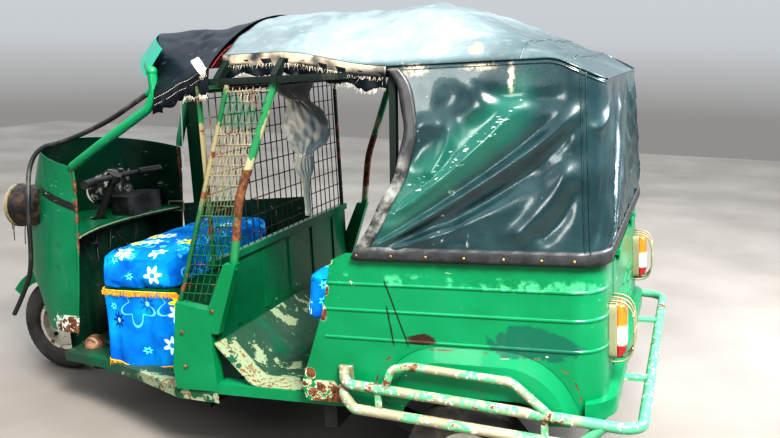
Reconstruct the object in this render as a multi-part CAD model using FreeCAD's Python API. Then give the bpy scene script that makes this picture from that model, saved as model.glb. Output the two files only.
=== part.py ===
import FreeCAD, Part
import os
from math import cos, pi, radians, sin, tan
from FreeCAD import Vector

# Auto rickshaw, a three-wheeled passenger vehicle with a folding-type hood,
# worn and with its front left roof corner pushed back.
# Millimetres. +X forward, +Y to the left, +Z up.
# Every piece of the body is drawn in a level frame whose zero is the ground
# below the rear axle. The stance then turns all of it nose down about the
# rear axle, because the front suspension has sunk, and the origin goes to
# the middle of the footprint.

# Stance and wheels
STANCE = 4.106
WHEEL_BASE = 2010.0
TYRE_R = 206.0
TYRE_W = 100.0
RIM_R = 116.0
SHEET = 2.5
GAP = 0.3

# Steering
RAKE = 30.0
AXIS_LEAD = 34.0
FORK_R = 21.0
COLUMN_R = 16.0
BAR_HALF = 250.0
BAR_R = 11.0
GUARD_R = 262.0
GUARD_HALF = 66.0

# Widths: everything across the body follows the tub's half width
TUB_HALF = 630.0
REAR_TRACK = 2 * (TUB_HALF - 35.0)
FLOOR_HALF = TUB_HALF - 38.0
SEAT_HALF = FLOOR_HALF - 32.0
GUARD_Y = TUB_HALF + 46.0

# Floor
DRIVER_FLOOR = 352.0
PASSENGER_FLOOR = 388.0
TOE_X = 742.0
TOE_TOP = (868.0, 525.0)
FLOOR_FRONT = 1722.0
FLOOR_REAR = 300.0
SILL_DROP = 36.0

# Rear tub, the body round the passenger seat
TUB_REAR = -400.0
TUB_BOTTOM = 378.0
TUB_TOP = 860.0
TUB_CORNER = 90.0
ARCH_X = -28.0
LIP_LOW = 338.0
# Wheel arch rows: how far out, half length, height of the crown, corner radius
FLARE_ROWS = ((0.0, 308.0, 586.0, 220.0), (18.0, 272.0, 540.0, 180.0), (24.0, 228.0, 446.0, 98.0))
# Side ribs: height and front end
RIB_ROWS = ((594.0, 440.0), (683.0, 436.0), (765.0, 418.0))
RIB_R = 7.0
HATCH_HALF = TUB_HALF - 240.0
LAMP_OUT = TUB_HALF - 122.0
LAMP_IN = TUB_HALF - 210.0
HATCH_LOW = 470.0
HATCH_HIGH = 800.0

# Hood: its heights follow the roof rails below it
RAIL_Z = 1372.0
RAIL_IN, RAIL_OUT = FLOOR_HALF - 64.0, FLOOR_HALF - 24.0
HOOD_WALL = 6.0
HOOD_HALF = TUB_HALF + 10.0
SEAM_HALF = TUB_HALF - 55.0
SEAM_Z = RAIL_Z + 30.0
POST_KNEE_Z = TUB_TOP + 150.0 * (RAIL_Z - TUB_TOP) / 512.0
ROOF_Z = RAIL_Z + 228.0
HOOD_FRONT = 800.0

# Front end
# Cowl rows: height, nose, rear edge, half width
COWL_ROWS = ((430.0, 1985.0, 1652.0, 340.0), (585.0, 2042.0, 1618.0, 348.0), (700.0, 2049.0, 1600.0, 350.0),
             (850.0, 2022.0, 1583.0, 350.0), (1000.0, 1972.0, 1571.0, 350.0), (1175.0, 1888.0, 1566.0, 350.0))
SCREEN_SILL = ((1540.0, 1082.0), (1990.0, 1187.0))
SHELF_Z = 822.0
BULKHEAD_X = 1722.0
LAMP_AT = (1800.0, 248.0, 925.0)
LAMP_R = 82.0
LAMP_DEEP = 140.0
LAMP_RIM = 5.0
LIP_R = 6.0
PILLAR_R = 17.0
HEADER_LEFT = (1140.0, 398.0, RAIL_Z + 53.0)
HEADER_MID = (1392.0, 0.0, RAIL_Z + 126.0)
HEADER_RIGHT = (1492.0, -425.0, RAIL_Z + 120.0)


def box(x0, x1, y0, y1, z0, z1):
    """Block between two corners."""
    return Part.makeBox(x1 - x0, y1 - y0, z1 - z0, Vector(x0, y0, z0))


def rod(a, b, radius):
    """Round bar from a to b."""
    a, b = Vector(*a), Vector(*b)
    return Part.makeCylinder(radius, (b - a).Length, a, b - a)


def rounded(points, closed=True):
    """Wire through 3-D corners (x, y, z, radius), each corner an arc tangent to its sides."""
    n = len(points)
    spots = [Vector(*p[:3]) for p in points]
    ends = []
    for i, p in enumerate(points):
        inside = closed or 0 < i < n - 1
        r = p[3] if len(p) > 3 and inside else 0.0
        if r <= 0:
            ends.append((spots[i], None, spots[i]))
            continue
        back = (spots[i - 1] - spots[i]).normalize()
        ahead = (spots[(i + 1) % n] - spots[i]).normalize()
        half = back.getAngle(ahead) / 2
        cut = r / tan(half)
        middle = (back + ahead).normalize()
        centre = spots[i] + middle * (r / sin(half))
        ends.append((spots[i] + back * cut, centre - middle * r, spots[i] + ahead * cut))
    edges = []
    for i in range(n if closed else n - 1):
        first, arc, last = ends[i]
        if arc is not None:
            edges.append(Part.Arc(first, arc, last).toShape())
        start = ends[(i + 1) % n][0]
        if (start - last).Length > 1e-6:
            edges.append(Part.LineSegment(last, start).toShape())
    if not closed and ends[-1][1] is not None:
        edges.append(Part.Arc(*ends[-1]).toShape())
    return Part.Wire(edges)


def tube(points, radius):
    """Bent tube along corners (x, y, z, bend radius)."""
    path = rounded(points, closed=False)
    first = path.Edges[0]
    start = first.valueAt(first.FirstParameter)
    ring = Part.Wire(Part.makeCircle(radius, start, first.tangentAt(first.FirstParameter)))
    return path.makePipeShell([ring], True, True)


def side_plate(points, y0, y1):
    """Side outline (x, z, radius) carried across from y0 to y1."""
    wire = rounded([(p[0], y0, p[1], p[2] if len(p) > 2 else 0) for p in points])
    return Part.Face(wire).extrude(Vector(0, y1 - y0, 0))


def plan_plate(points, z0, z1):
    """Plan outline (x, y, radius) raised from z0 to z1."""
    wire = rounded([(p[0], p[1], z0, p[2] if len(p) > 2 else 0) for p in points])
    return Part.Face(wire).extrude(Vector(0, 0, z1 - z0))


def mirrored(shape):
    """The same piece on the other side of the centre plane."""
    return shape.mirror(Vector(0, 0, 0), Vector(0, 1, 0))


def fused(shapes):
    """One solid out of pieces that are welded together."""
    whole = shapes[0]
    for shape in shapes[1:]:
        whole = whole.fuse(shape)
    plain = whole.removeSplitter()
    return plain if plain.isValid() else whole


def spun(profile, centre):
    """Profile of (radius, y) corners turned about the wheel's axle."""
    wire = rounded([(centre[0] + p[0], centre[1] + p[1], centre[2], p[2] if len(p) > 2 else 0) for p in profile])
    return Part.Face(wire).revolve(Vector(*centre), Vector(0, 1, 0), 360)


pieces = {}

# Where the wheels stand, in the level frame
tilt = radians(STANCE)
hub_x = WHEEL_BASE * cos(tilt)
hub_z = TYRE_R + WHEEL_BASE * sin(tilt)
FRONT_HUB = (hub_x, 0.0, hub_z)
wheel_y = REAR_TRACK / 2

# Tyres: half profile from the bead on the rim to the tread, as radius and distance from the middle
BEAD_HALF = 38.0
TYRE_ROWS = ((RIM_R, BEAD_HALF), (RIM_R + 32, TYRE_W / 2 - 1), (RIM_R + 56, TYRE_W / 2),
             (TYRE_R - 13, TYRE_W / 2 - 8), (TYRE_R, TYRE_W / 2 - 28))


def tyre(centre):
    """Tyre as one ring."""
    return spun([(r, -y) for r, y in TYRE_ROWS] + [(r, y) for r, y in reversed(TYRE_ROWS)], centre)


# Rims: two pressed halves on a flat disc
DISC_R = 74.0
DISC_HALF = 3.0
RIM_WALL = 4.0
BEAD_R = 104.0


def rim(centre):
    """Pressed rim: flanges, a drop centre and the disc that bolts to the hub."""
    profile = [(DISC_R, -DISC_HALF), (BEAD_R - RIM_WALL, -DISC_HALF), (BEAD_R - RIM_WALL, -BEAD_HALF),
               (RIM_R - GAP, -BEAD_HALF), (RIM_R - GAP, -BEAD_HALF + RIM_WALL), (BEAD_R, -BEAD_HALF + RIM_WALL),
               (BEAD_R, BEAD_HALF - RIM_WALL), (RIM_R - GAP, BEAD_HALF - RIM_WALL), (RIM_R - GAP, BEAD_HALF),
               (BEAD_R - RIM_WALL, BEAD_HALF), (BEAD_R - RIM_WALL, DISC_HALF), (DISC_R, DISC_HALF)]
    return spun(profile, centre)


# Hubs: a brake drum with a bore for the spindle
SPINDLE_R = 13.0
BORE_R = SPINDLE_R + 0.08
DRUM_HALF = 30.0


def hub(centre, side):
    """Brake drum and hub. side is +1 where the drum's open face looks to -Y."""
    profile = [(BORE_R, -DRUM_HALF), (DISC_R, -DRUM_HALF, 4), (DISC_R, DISC_HALF + 6, 4),
               (34.0, DISC_HALF + 6), (28.0, DRUM_HALF, 3), (BORE_R, DRUM_HALF)]
    ring = spun([(p[0], side * p[1]) + tuple(p[2:]) for p in profile], centre)
    return ring


pieces["tyre_front"] = tyre(FRONT_HUB)
pieces["rim_front"] = fused([rim(FRONT_HUB), hub(FRONT_HUB, 1)])
for side, name in ((1, "left"), (-1, "right")):
    centre = (0.0, side * wheel_y, TYRE_R)
    pieces["tyre_rear_" + name] = tyre(centre)
    pieces["rim_rear_" + name] = fused([rim(centre), hub(centre, side)])

# Rear trailing arms: pivot tube, arm, spindle and coil spring seat
PIVOT = (338.0, TUB_HALF - 110.0, 345.0)
ARM_IN = TUB_HALF - 95.0


def swing_arm():
    """Left trailing arm with the spindle that the hub turns on."""
    pivot = rod((PIVOT[0], PIVOT[1] - 60, PIVOT[2]), (PIVOT[0], PIVOT[1] + 72, PIVOT[2]), 20)
    arm = side_plate([(-36, TYRE_R + 30, 20), (-36, TYRE_R - 30, 20), (40, TYRE_R - 34, 30),
                      (PIVOT[0] + 8, PIVOT[2] - 22, 12), (PIVOT[0] + 2, PIVOT[2] + 20, 12), (60, TYRE_R + 52, 40)],
                     ARM_IN - 40, ARM_IN)
    spindle = rod((0, ARM_IN - 20, TYRE_R), (0, wheel_y + DRUM_HALF + 10, TYRE_R), SPINDLE_R)
    nut = rod((0, wheel_y + DRUM_HALF + GAP, TYRE_R), (0, wheel_y + DRUM_HALF + 16, TYRE_R), 20)
    return fused([pivot, arm, spindle, nut])


pieces["swing_arm_left"] = swing_arm()
pieces["swing_arm_right"] = mirrored(pieces["swing_arm_left"])

# Steering axis: top leans back; the axle trails it a little
rake = radians(RAKE)
AXIS = Vector(-sin(rake), 0, cos(rake))
AXIS_FOOT = Vector(hub_x + AXIS_LEAD, 0, hub_z)


def on_axis(z):
    """Point of the steering axis at height z."""
    return AXIS_FOOT + AXIS * ((z - AXIS_FOOT.z) / AXIS.z)


HEAD_LOW, HEAD_HIGH, BAR_Z = 655.0, 800.0, 985.0
top = on_axis(BAR_Z)
SIDE_Y = -92.0
NECK_R = 14.0


def steering():
    """Column, one-sided fork stem, trailing link and front spindle as one welded piece."""
    column = rod(tuple(on_axis(614.0)), tuple(top), COLUMN_R)
    low = on_axis(614.0)
    bottom = on_axis(hub_z + 20)
    stem = tube([(low.x, 18, low.z + 9, 0), (low.x + 8, SIDE_Y, low.z + 4, 45),
                 (bottom.x + 28, SIDE_Y, bottom.z, 0)], FORK_R)
    cap = rod(tuple(on_axis(642.0)), tuple(on_axis(596.0)), COLUMN_R + 10)
    neck = rod(tuple(on_axis(600.0)), tuple(on_axis(574.0)), NECK_R)
    link = side_plate([(hub_x - 26, hub_z - 24, 20), (bottom.x + 48, bottom.z - 26, 20),
                       (bottom.x + 48, bottom.z + 22, 20), (hub_x - 26, hub_z + 24, 20)],
                      SIDE_Y - 12, SIDE_Y + 12)
    spindle = rod((hub_x, SIDE_Y, hub_z), (hub_x, DRUM_HALF + 10, hub_z), SPINDLE_R)
    nut = rod((hub_x, DRUM_HALF + GAP, hub_z), (hub_x, DRUM_HALF + 16, hub_z), 20)
    return fused([column, cap, neck, stem, link, spindle, nut])


pieces["steering_column"] = steering()


def handlebar():
    """Handlebar with its clamp on the column and two grips."""
    clamp = rod(tuple(on_axis(BAR_Z) + AXIS * GAP), tuple(on_axis(BAR_Z) + AXIS * 34), 26)
    bar = tube([(top.x - 60, -BAR_HALF, BAR_Z + 20, 0), (top.x - 10, -BAR_HALF + 140, BAR_Z + 18, 60),
                (top.x - 10, BAR_HALF - 140, BAR_Z + 18, 60), (top.x - 60, BAR_HALF, BAR_Z + 20, 0)], BAR_R)
    grips = [rod((top.x - 60, s * BAR_HALF, BAR_Z + 20), (top.x - 22, s * (BAR_HALF - 106), BAR_Z + 18.5), 17)
             for s in (1, -1)]
    return fused([clamp, bar] + grips)


pieces["handlebar"] = handlebar()


def mudguard():
    """Fender over the front wheel, an arched sheet with turned-down sides."""
    outer = Part.makeCylinder(GUARD_R, 2 * GUARD_HALF, Vector(hub_x, -GUARD_HALF, hub_z), Vector(0, 1, 0))
    inner = Part.makeCylinder(GUARD_R - SHEET, 2 * (GUARD_HALF - SHEET),
                              Vector(hub_x, -GUARD_HALF + SHEET, hub_z), Vector(0, 1, 0))
    eye = Part.makeCylinder(GUARD_R - 46, 3 * GUARD_HALF, Vector(hub_x, -1.5 * GUARD_HALF, hub_z), Vector(0, 1, 0))
    sweep = side_plate([(hub_x, hub_z), (hub_x + 320, hub_z + 240), (hub_x + 320, hub_z + 400),
                        (hub_x - 360, hub_z + 400), (hub_x - 360, hub_z + 60)], -GUARD_HALF, GUARD_HALF)
    shell = outer.cut(inner).cut(eye).common(sweep)
    return shell


neck_hole = rod(tuple(on_axis(640.0)), tuple(on_axis(560.0)), NECK_R + GAP)
pieces["mudguard"] = mudguard().cut(neck_hole)


def floor_outline(shrink, z0, z1, front=FLOOR_FRONT, rear=FLOOR_REAR):
    """Floor plan: full width at the doorways, drawn in beside the driver's feet."""
    half = [(rear, FLOOR_HALF - shrink), (1040.0, FLOOR_HALF - 12 - shrink, 60), (1280.0, 470.0 - shrink, 200),
            (1520.0, 385.0 - shrink, 100), (front, 345.0 - shrink)]
    other = [(p[0], -p[1]) + tuple(p[2:]) for p in reversed(half)]
    return plan_plate(half + other, z0, z1)


# Floor: driver's pan in front, stepped passenger pan with its toe board behind
PAN_JOINT = 870.0


def driver_floor():
    """Flat pan with a turned-down edge, from the toe board to the bulkhead."""
    pan = floor_outline(0, DRIVER_FLOOR - SILL_DROP, DRIVER_FLOOR, rear=PAN_JOINT)
    hollow = floor_outline(SHEET, DRIVER_FLOOR - SILL_DROP, DRIVER_FLOOR - SHEET, rear=PAN_JOINT)
    ribs = [box(1180, 1560, y - 8, y + 8, DRIVER_FLOOR, DRIVER_FLOOR + 4) for y in (-180, -60, 60, 180)]
    return fused([pan.cut(hollow)] + ribs)


FLOOR_RIB, RIB_UP = (FLOOR_HALF - 112.0) / 4, 5.0


def passenger_floor():
    """Ribbed passenger pan: flat, then a toe board that climbs to the partition."""
    toe_x, toe_z = TOE_TOP
    upper = [(FLOOR_REAR, PASSENGER_FLOOR), (TOE_X, PASSENGER_FLOOR, 60), (toe_x, toe_z)]
    lower = [(toe_x + SHEET, toe_z), (toe_x + SHEET, toe_z - 6), (TOE_X, PASSENGER_FLOOR - SHEET, 60),
             (FLOOR_REAR, PASSENGER_FLOOR - SHEET)]
    sheet = side_plate(upper + lower, -FLOOR_HALF + 8, FLOOR_HALF - 8)
    ribs = [box(FLOOR_REAR + 20, TOE_X - 60, i * FLOOR_RIB - 10, i * FLOOR_RIB + 10,
                PASSENGER_FLOOR, PASSENGER_FLOOR + RIB_UP) for i in range(-4, 5)]
    return fused([sheet] + ribs)


pieces["driver_floor"] = driver_floor()
pieces["passenger_floor"] = passenger_floor()


SILL_REAR, SILL_W = 378.0, 60.0
RAIL_LOW, RAIL_TOP = 262.0, DRIVER_FLOOR - SHEET - GAP
SILL_LOW, SILL_TOP = RAIL_TOP + GAP, PASSENGER_FLOOR - SHEET - GAP


def sill():
    """Left sill: a channel under the doorway from the tub to the B-post."""
    skin = box(SILL_REAR, PAN_JOINT - GAP, FLOOR_HALF - SILL_W, FLOOR_HALF, SILL_LOW, SILL_TOP)
    hollow = box(SILL_REAR - 5, PAN_JOINT, FLOOR_HALF - SILL_W - 5, FLOOR_HALF - SHEET, SILL_LOW - 5, SILL_TOP - SHEET)
    return skin.cut(hollow)


pieces["sills"] = Part.makeCompound([sill(), mirrored(sill())])

# Underframe: two long channels and cross members below the floor
RAIL_Y = 250.0


def underframe():
    """Two long rails joined by cross members; the engine and the arms hang from them."""
    rails = [box(-330, 1650, s * RAIL_Y - 25, s * RAIL_Y + 25, RAIL_LOW, RAIL_TOP) for s in (1, -1)]
    crosses = [box(x - 25, x + 25, -RAIL_Y, RAIL_Y, RAIL_LOW + 10, RAIL_TOP - 6) for x in (600, 1000, 1500)]
    outriggers = [box(x - 22, x + 22, -w, w, RAIL_LOW + 10, RAIL_TOP)
                  for x, w in ((460, FLOOR_HALF - 4), (960, FLOOR_HALF - 52))]
    brackets = [box(PIVOT[0] - 34, PIVOT[0] + 34, s * RAIL_Y - 25, s * (PIVOT[1] - 60 - GAP), 318, RAIL_TOP - 6)
                if s > 0 else
                box(PIVOT[0] - 34, PIVOT[0] + 34, s * (PIVOT[1] - 60 - GAP), s * RAIL_Y + 25, 318, RAIL_TOP - 6)
                for s in (1, -1)]
    return fused(rails + crosses + outriggers + brackets)


pieces["underframe"] = underframe()
ENGINE_HALF = RAIL_Y - 25 - GAP
pieces["engine"] = box(-320, 40, -ENGINE_HALF, ENGINE_HALF, 205, 470)


def quarter_panel():
    """Left side of the tub: wrap-round sheet with ribs and a flared wheel arch."""
    front = [(355, TUB_TOP), (410, 835, 40), (425, 760, 60), (446, 670, 100), (534, 430, 60), (520, TUB_BOTTOM, 18)]
    rear = [(TUB_REAR, TUB_BOTTOM), (TUB_REAR, TUB_TOP)]
    face = side_plate(front + rear, 0, TUB_HALF + 60)
    plan = plan_plate([(560, 0), (560, TUB_HALF), (TUB_REAR, TUB_HALF, TUB_CORNER), (TUB_REAR, 0)], 300, 900)
    core = plan_plate([(700, -20), (700, TUB_HALF - SHEET), (TUB_REAR + SHEET, TUB_HALF - SHEET, TUB_CORNER - SHEET),
                       (TUB_REAR + SHEET, -20)], 290, 910)
    skin = face.common(plan).cut(core)
    skin = skin.cut(box(TUB_REAR - 5, TUB_REAR + SHEET + 5, -20, HATCH_HALF + 40, 290, 910))
    return skin


def arch_wire(half, crown, corner, y):
    """Arch outline in the side view at distance y from the centre plane."""
    return rounded([(ARCH_X - half, y, LIP_LOW, 0), (ARCH_X - half, y, crown, corner),
                    (ARCH_X + half, y, crown, corner), (ARCH_X + half, y, LIP_LOW, 0)])


def arch_plug(half, crown, corner, y0, y1):
    """Solid of the arch outline carried across the body."""
    return Part.Face(arch_wire(half, crown, corner, y0)).extrude(Vector(0, y1 - y0, 0))


def flare():
    """Wheel arch as a crowned sheet from the tub's side out to its lip over the wheel."""
    skins = []
    for thick in (0.0, SHEET):
        wires = [arch_wire(half - thick, crown - thick, corner - thick, TUB_HALF - SHEET + out - thick * (out > 0))
                 for out, half, crown, corner in FLARE_ROWS]
        skins.append(Part.makeLoft(wires, True, True))
    out, half, crown, corner = FLARE_ROWS[-1]
    hole = arch_plug(half - 2 * SHEET, crown - 2 * SHEET, corner - 2 * SHEET, TUB_HALF - 40, TUB_HALF + 90)
    under = box(-700, 700, 0, 800, 0, TUB_BOTTOM)
    return skins[0].cut(skins[1]).cut(hole).cut(under)


def side_rib(z, front):
    """Half-round rib pressed in the sheet, from the doorway round the rear corner."""
    inset = RIB_R - 3.0
    return tube([(front, TUB_HALF - inset, z, 0), (TUB_REAR + inset, TUB_HALF - inset, z, TUB_CORNER - inset),
                 (TUB_REAR + inset, LAMP_OUT + 12, z, 0)], RIB_R)


panel = quarter_panel()
start = FLARE_ROWS[0]
plug = arch_plug(start[1] - 1, start[2] - 1, start[3] - 1, TUB_HALF - 30, TUB_HALF + 20)
ribs = [side_rib(z, front) for z, front in RIB_ROWS]
pieces["quarter_panel_left"] = fused([panel] + ribs).cut(plug).fuse(flare()).removeSplitter()
pieces["quarter_panel_right"] = mirrored(pieces["quarter_panel_left"])


def rear_panel():
    """Back of the tub: frame round the engine hatch."""
    wall = box(TUB_REAR, TUB_REAR + SHEET, -HATCH_HALF - 40, HATCH_HALF + 40, TUB_BOTTOM, TUB_TOP)
    hole = box(TUB_REAR - 5, TUB_REAR + 10, -HATCH_HALF, HATCH_HALF, HATCH_LOW, HATCH_HIGH)
    return wall.cut(hole)


pieces["rear_panel"] = rear_panel()

HATCH_GAP = 6.0
HATCH_HINGE = (TUB_REAR - 8.0, HATCH_HIGH + 4.0)


def hatch():
    """Engine hatch: a louvred sheet hung from two hinges at its top edge."""
    door = box(TUB_REAR - 2, TUB_REAR + SHEET - 2, -HATCH_HALF + HATCH_GAP, HATCH_HALF - HATCH_GAP,
               HATCH_LOW + HATCH_GAP, HATCH_HIGH - HATCH_GAP)
    slots = [box(TUB_REAR - 10, TUB_REAR + 10, y - 70, y + 70, z - 5, z + 5)
             for y in (-190, 0, 190) for z in (520, 560, 600, 640)]
    for slot in slots:
        door = door.cut(slot)
    hoods = [rod((TUB_REAR - 2, y - 70, z + 5), (TUB_REAR - 2, y + 70, z + 5), 4)
             for y in (-190, 0, 190) for z in (520, 560, 600, 640)]
    hinge_x, hinge_z = HATCH_HINGE
    leaves = [box(hinge_x - 3, hinge_x + 3, y - 30, y + 30, HATCH_HIGH - 20, hinge_z) for y in (-260, 260)]
    leaves += [box(hinge_x - 3, TUB_REAR, y - 30, y + 30, HATCH_HIGH - 20, HATCH_HIGH - 12) for y in (-260, 260)]
    barrels = [rod((HATCH_HINGE[0], y - 30, HATCH_HINGE[1]), (HATCH_HINGE[0], y + 30, HATCH_HINGE[1]), 5)
               for y in (-260, 260)]
    return fused([door] + hoods + leaves + barrels)


pieces["engine_hatch"] = hatch()


def hinge_blocks():
    """Fixed halves of the hatch hinges, one outside each barrel."""
    left = box(HATCH_HINGE[0] - 6, TUB_REAR, 290 + GAP, 304, HATCH_HINGE[1] - 5, HATCH_HINGE[1] + 12)
    return [left, mirrored(left)]


pieces["rear_panel"] = fused([pieces["rear_panel"]] + hinge_blocks())

# Rear bumper: a channel that wraps the back of the tub and its corners
BUMPER_LOW, BUMPER_HIGH, BUMPER_SHEET = 402.0, 452.0, 3.0
BUMPER_OUT = RIB_R + 20.0
BUMPER_END = ARCH_X - FLARE_ROWS[0][1] - 12.0


def round_the_back(out, low, high):
    """Plan of the tub's back drawn out by a distance, raised from low to high."""
    side_y, rear_x, corner = TUB_HALF + out, TUB_REAR - out, TUB_CORNER + out
    return plan_plate([(0, side_y), (rear_x, side_y, corner), (rear_x, -side_y, corner), (0, -side_y)], low, high)


pieces["rear_bumper"] = round_the_back(BUMPER_OUT, BUMPER_LOW, BUMPER_HIGH).cut(
    round_the_back(GAP, BUMPER_LOW - 5, BUMPER_HIGH + 5)).cut(
    round_the_back(BUMPER_OUT - BUMPER_SHEET, BUMPER_LOW + BUMPER_SHEET, BUMPER_HIGH - BUMPER_SHEET)).cut(
    box(BUMPER_END, 100, -800, 800, BUMPER_LOW - 5, BUMPER_HIGH + 5))

# Guard tubes round the tub
GUARD_TUBE = 16.0
REAR_GUARD_X = -503.0


def side_guard():
    """Left guard: two rails, a hoop over the wheel and the ends that reach the body."""
    def on_rail(x, drop):
        return 448.0 - (183.0 - x) * 0.070 - drop
    upper = tube([(372, TUB_HALF + 20, 508, 0), (370, GUARD_Y - 4, 462, 30),
                  (REAR_GUARD_X, GUARD_Y, on_rail(REAR_GUARD_X, 0), 60), (REAR_GUARD_X, 0, on_rail(REAR_GUARD_X, 0), 0)],
                 GUARD_TUBE)
    lower = tube([(376, TUB_HALF + GAP, 436, 0), (376, GUARD_Y, 436, 24), (340, GUARD_Y, on_rail(340, 74), 24),
                  (-330, GUARD_Y, on_rail(-330, 74), 60), (-400, GUARD_Y, on_rail(-400, 6), 0)], GUARD_TUBE)
    hoop = tube([(238, GUARD_Y, on_rail(238, 0), 0), (212, GUARD_Y, 520, 34), (150, GUARD_Y, 534, 60),
                 (-150, GUARD_Y, 512, 60), (-258, GUARD_Y, on_rail(-258, 0), 0)], GUARD_TUBE - 3)
    straps = [box(x - 10, x + 10, GUARD_Y - 4, GUARD_Y + 4, on_rail(x, 74), on_rail(x, 0)) for x in (258, -240)]
    bracket = box(REAR_GUARD_X, TUB_REAR - BUMPER_OUT - GAP, 280, 320, BUMPER_LOW + 1, BUMPER_LOW + 11)
    plate = box(352, 396, TUB_HALF + GAP, TUB_HALF + 14, 462, 506)
    return [upper, lower, hoop, bracket, plate] + straps


half = side_guard()
guard = half + [mirrored(s) for s in half]
pieces["guard_frame"] = fused(guard)

# Seats
SEAT_Y = 385.0


def seat_box():
    """Driver's seat box: a sheet box open below, over the fuel tank's place."""
    shell = box(1172, 1452, -SEAT_Y, SEAT_Y, DRIVER_FLOOR + 4 + GAP, 640)
    return shell.cut(box(1172 + SHEET, 1452 - SHEET, -SEAT_Y + SHEET, SEAT_Y - SHEET, 300, 640 - SHEET))


pieces["driver_seat_box"] = seat_box()


def cushion(x0, x1, y0, y1, z0, z1, r):
    """Plain cushion with rounded upright corners."""
    return plan_plate([(x0, y0, r), (x1, y0, r), (x1, y1, r), (x0, y1, r)], z0, z1)


pieces["driver_seat_cushion"] = cushion(1140, 1490, -400, 400, 640 + GAP, 765, 60)
BOX_HALF = wheel_y - TYRE_W / 2 - 14.0
pieces["passenger_seat_box"] = box(40, 440, -BOX_HALF, BOX_HALF, PASSENGER_FLOOR + RIB_UP + GAP, 620).cut(
    box(40 + SHEET, 440 - SHEET, -BOX_HALF + SHEET, BOX_HALF - SHEET, 300, 620 - SHEET)).cut(pieces["engine"])
pieces["passenger_seat_cushion"] = cushion(0, 560, -SEAT_HALF, SEAT_HALF, 620 + GAP, 770, 50)
pieces["passenger_backrest"] = side_plate([(-60, 770 + GAP, 20), (60, 770 + GAP, 20), (-60, 1200, 40), (-160, 1200, 40)],
                                           20 - SEAT_HALF, SEAT_HALF - 20)

# Partition behind the driver
PART_X = TOE_TOP[0]
PART_HALF = SEAT_HALF - GAP


def partition():
    """Steel half wall between driver and passengers, with pressed upright ribs and a top rail."""
    wall = box(PART_X, PART_X + SHEET, -PART_HALF, PART_HALF, TOE_TOP[1] + GAP, 775)
    rail = box(PART_X - 12, PART_X + 14, -PART_HALF, PART_HALF, 775, 800)
    pitch = 0.375 * PART_HALF
    ribs = [box(PART_X - 6, PART_X, i * pitch - 14, i * pitch + 14, 545, 760) for i in range(-2, 3)]
    return fused([wall, rail] + ribs)


pieces["partition"] = partition()


ROD_BACK = 24.0


def wire_grille():
    """Wire grille above the partition's rail, upright wires welded to cross wires."""
    foot, head = 800 + GAP, RAIL_Z - GAP
    side = RAIL_IN + 18
    pitch = (side - 6) / 12
    up = [box(PART_X - 3, PART_X, i * pitch - 1.5, i * pitch + 1.5, foot, head) for i in range(-11, 12)]
    across = [box(PART_X, PART_X + 3, 6 - side, side - 6, foot + 31 + 62 * i, foot + 34 + 62 * i) for i in range(9)]
    post = box(PART_X - 3, PART_X + 9, side - 12, side, foot, head)
    stub = box(PART_X - ROD_BACK, PART_X, side - 12, side, head - 24, head - 12)
    head_bar = box(PART_X - 3, PART_X + 9, 6 - side, side - 6, head - 12, head)
    hang_rod = box(PART_X - ROD_BACK - 6, PART_X - ROD_BACK + 6, -side, side, head - 24, head - 12)
    return fused(up + across + [post, mirrored(post), head_bar, hang_rod, stub, mirrored(stub)])


pieces["partition_grille"] = wire_grille()


def b_post(side):
    """B-post: a pressed lower box, a jamb and an inclined tube up to the hood."""
    face = [(PAN_JOINT, 356), (1030, 356), (1038, 430), (1004, 661), (PAN_JOINT + 8, 640)]
    inside, outside = SEAT_HALF, FLOOR_HALF
    lower = side_plate(face, inside - 12, outside)
    hollow = side_plate([(PAN_JOINT + 6, 340), (1026, 340), (1032, 430), (1000, 656), (PAN_JOINT + 14, 636)],
                        inside - 20, outside - SHEET)
    jamb = side_plate([(PAN_JOINT + 10, 560), (PAN_JOINT + 12, 640), (806, 800), (760, 800), (PAN_JOINT - 22, 560)],
                      inside, outside)
    post = tube([(778, inside + 16, 780, 0), (741, inside + 6, POST_KNEE_Z, 400), (585, inside - 17, RAIL_Z + 23, 0)],
                14)
    whole = fused([lower.cut(hollow), jamb, post.cut(box(300, 800, 0, 2 * TUB_HALF, RAIL_Z - GAP, RAIL_Z + 100))])
    return whole if side > 0 else mirrored(whole)


pieces["b_post_left"] = b_post(1)
pieces["b_post_right"] = b_post(-1)


HEM_X, HEM_Z = TUB_REAR - 11.0, TUB_TOP - 10.0


def hood_section(s):
    """Cross-section of the hood at x = 0, drawn in by s all round."""
    low_z = HEM_Z - 2 - 2 * s
    left, right = Vector(0, -SEAM_HALF + s, SEAM_Z - s), Vector(0, SEAM_HALF - s, SEAM_Z - s)
    foot_left, foot_right = Vector(0, -HOOD_HALF + s, low_z), Vector(0, HOOD_HALF - s, low_z)
    return Part.Face(Part.Wire([Part.LineSegment(foot_left, left).toShape(),
                                Part.Arc(left, Vector(0, 0, ROOF_Z - s), right).toShape(),
                                Part.LineSegment(right, foot_right).toShape(),
                                Part.LineSegment(foot_right, foot_left).toShape()]))


def hood_profile(shrink):
    """Hood as the overlap of its side outline and its cross-section."""
    s = shrink
    side = side_plate([(HOOD_FRONT + 2 * s, RAIL_Z), (HOOD_FRONT + 2 * s, ROOF_Z + 40), (150, ROOF_Z + 20 - s, 60),
                       (HEM_X + 14 + s, RAIL_Z - 34 - s, 90), (HEM_X + s, HEM_Z - 2 * s), (360, HEM_Z - 2 * s),
                       (HOOD_FRONT + 2 * s, RAIL_Z - 72)], -2 * TUB_HALF, 2 * TUB_HALF)
    prism = hood_section(s).extrude(Vector(1400, 0, 0))
    prism.translate(Vector(-450, 0, 0))
    block = side.common(prism)
    corners = [e for e in block.Edges if e.BoundBox.XMax < HEM_X + 60 and e.BoundBox.ZLength > 200]
    return block.makeFillet(TUB_CORNER - s, corners)


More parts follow.
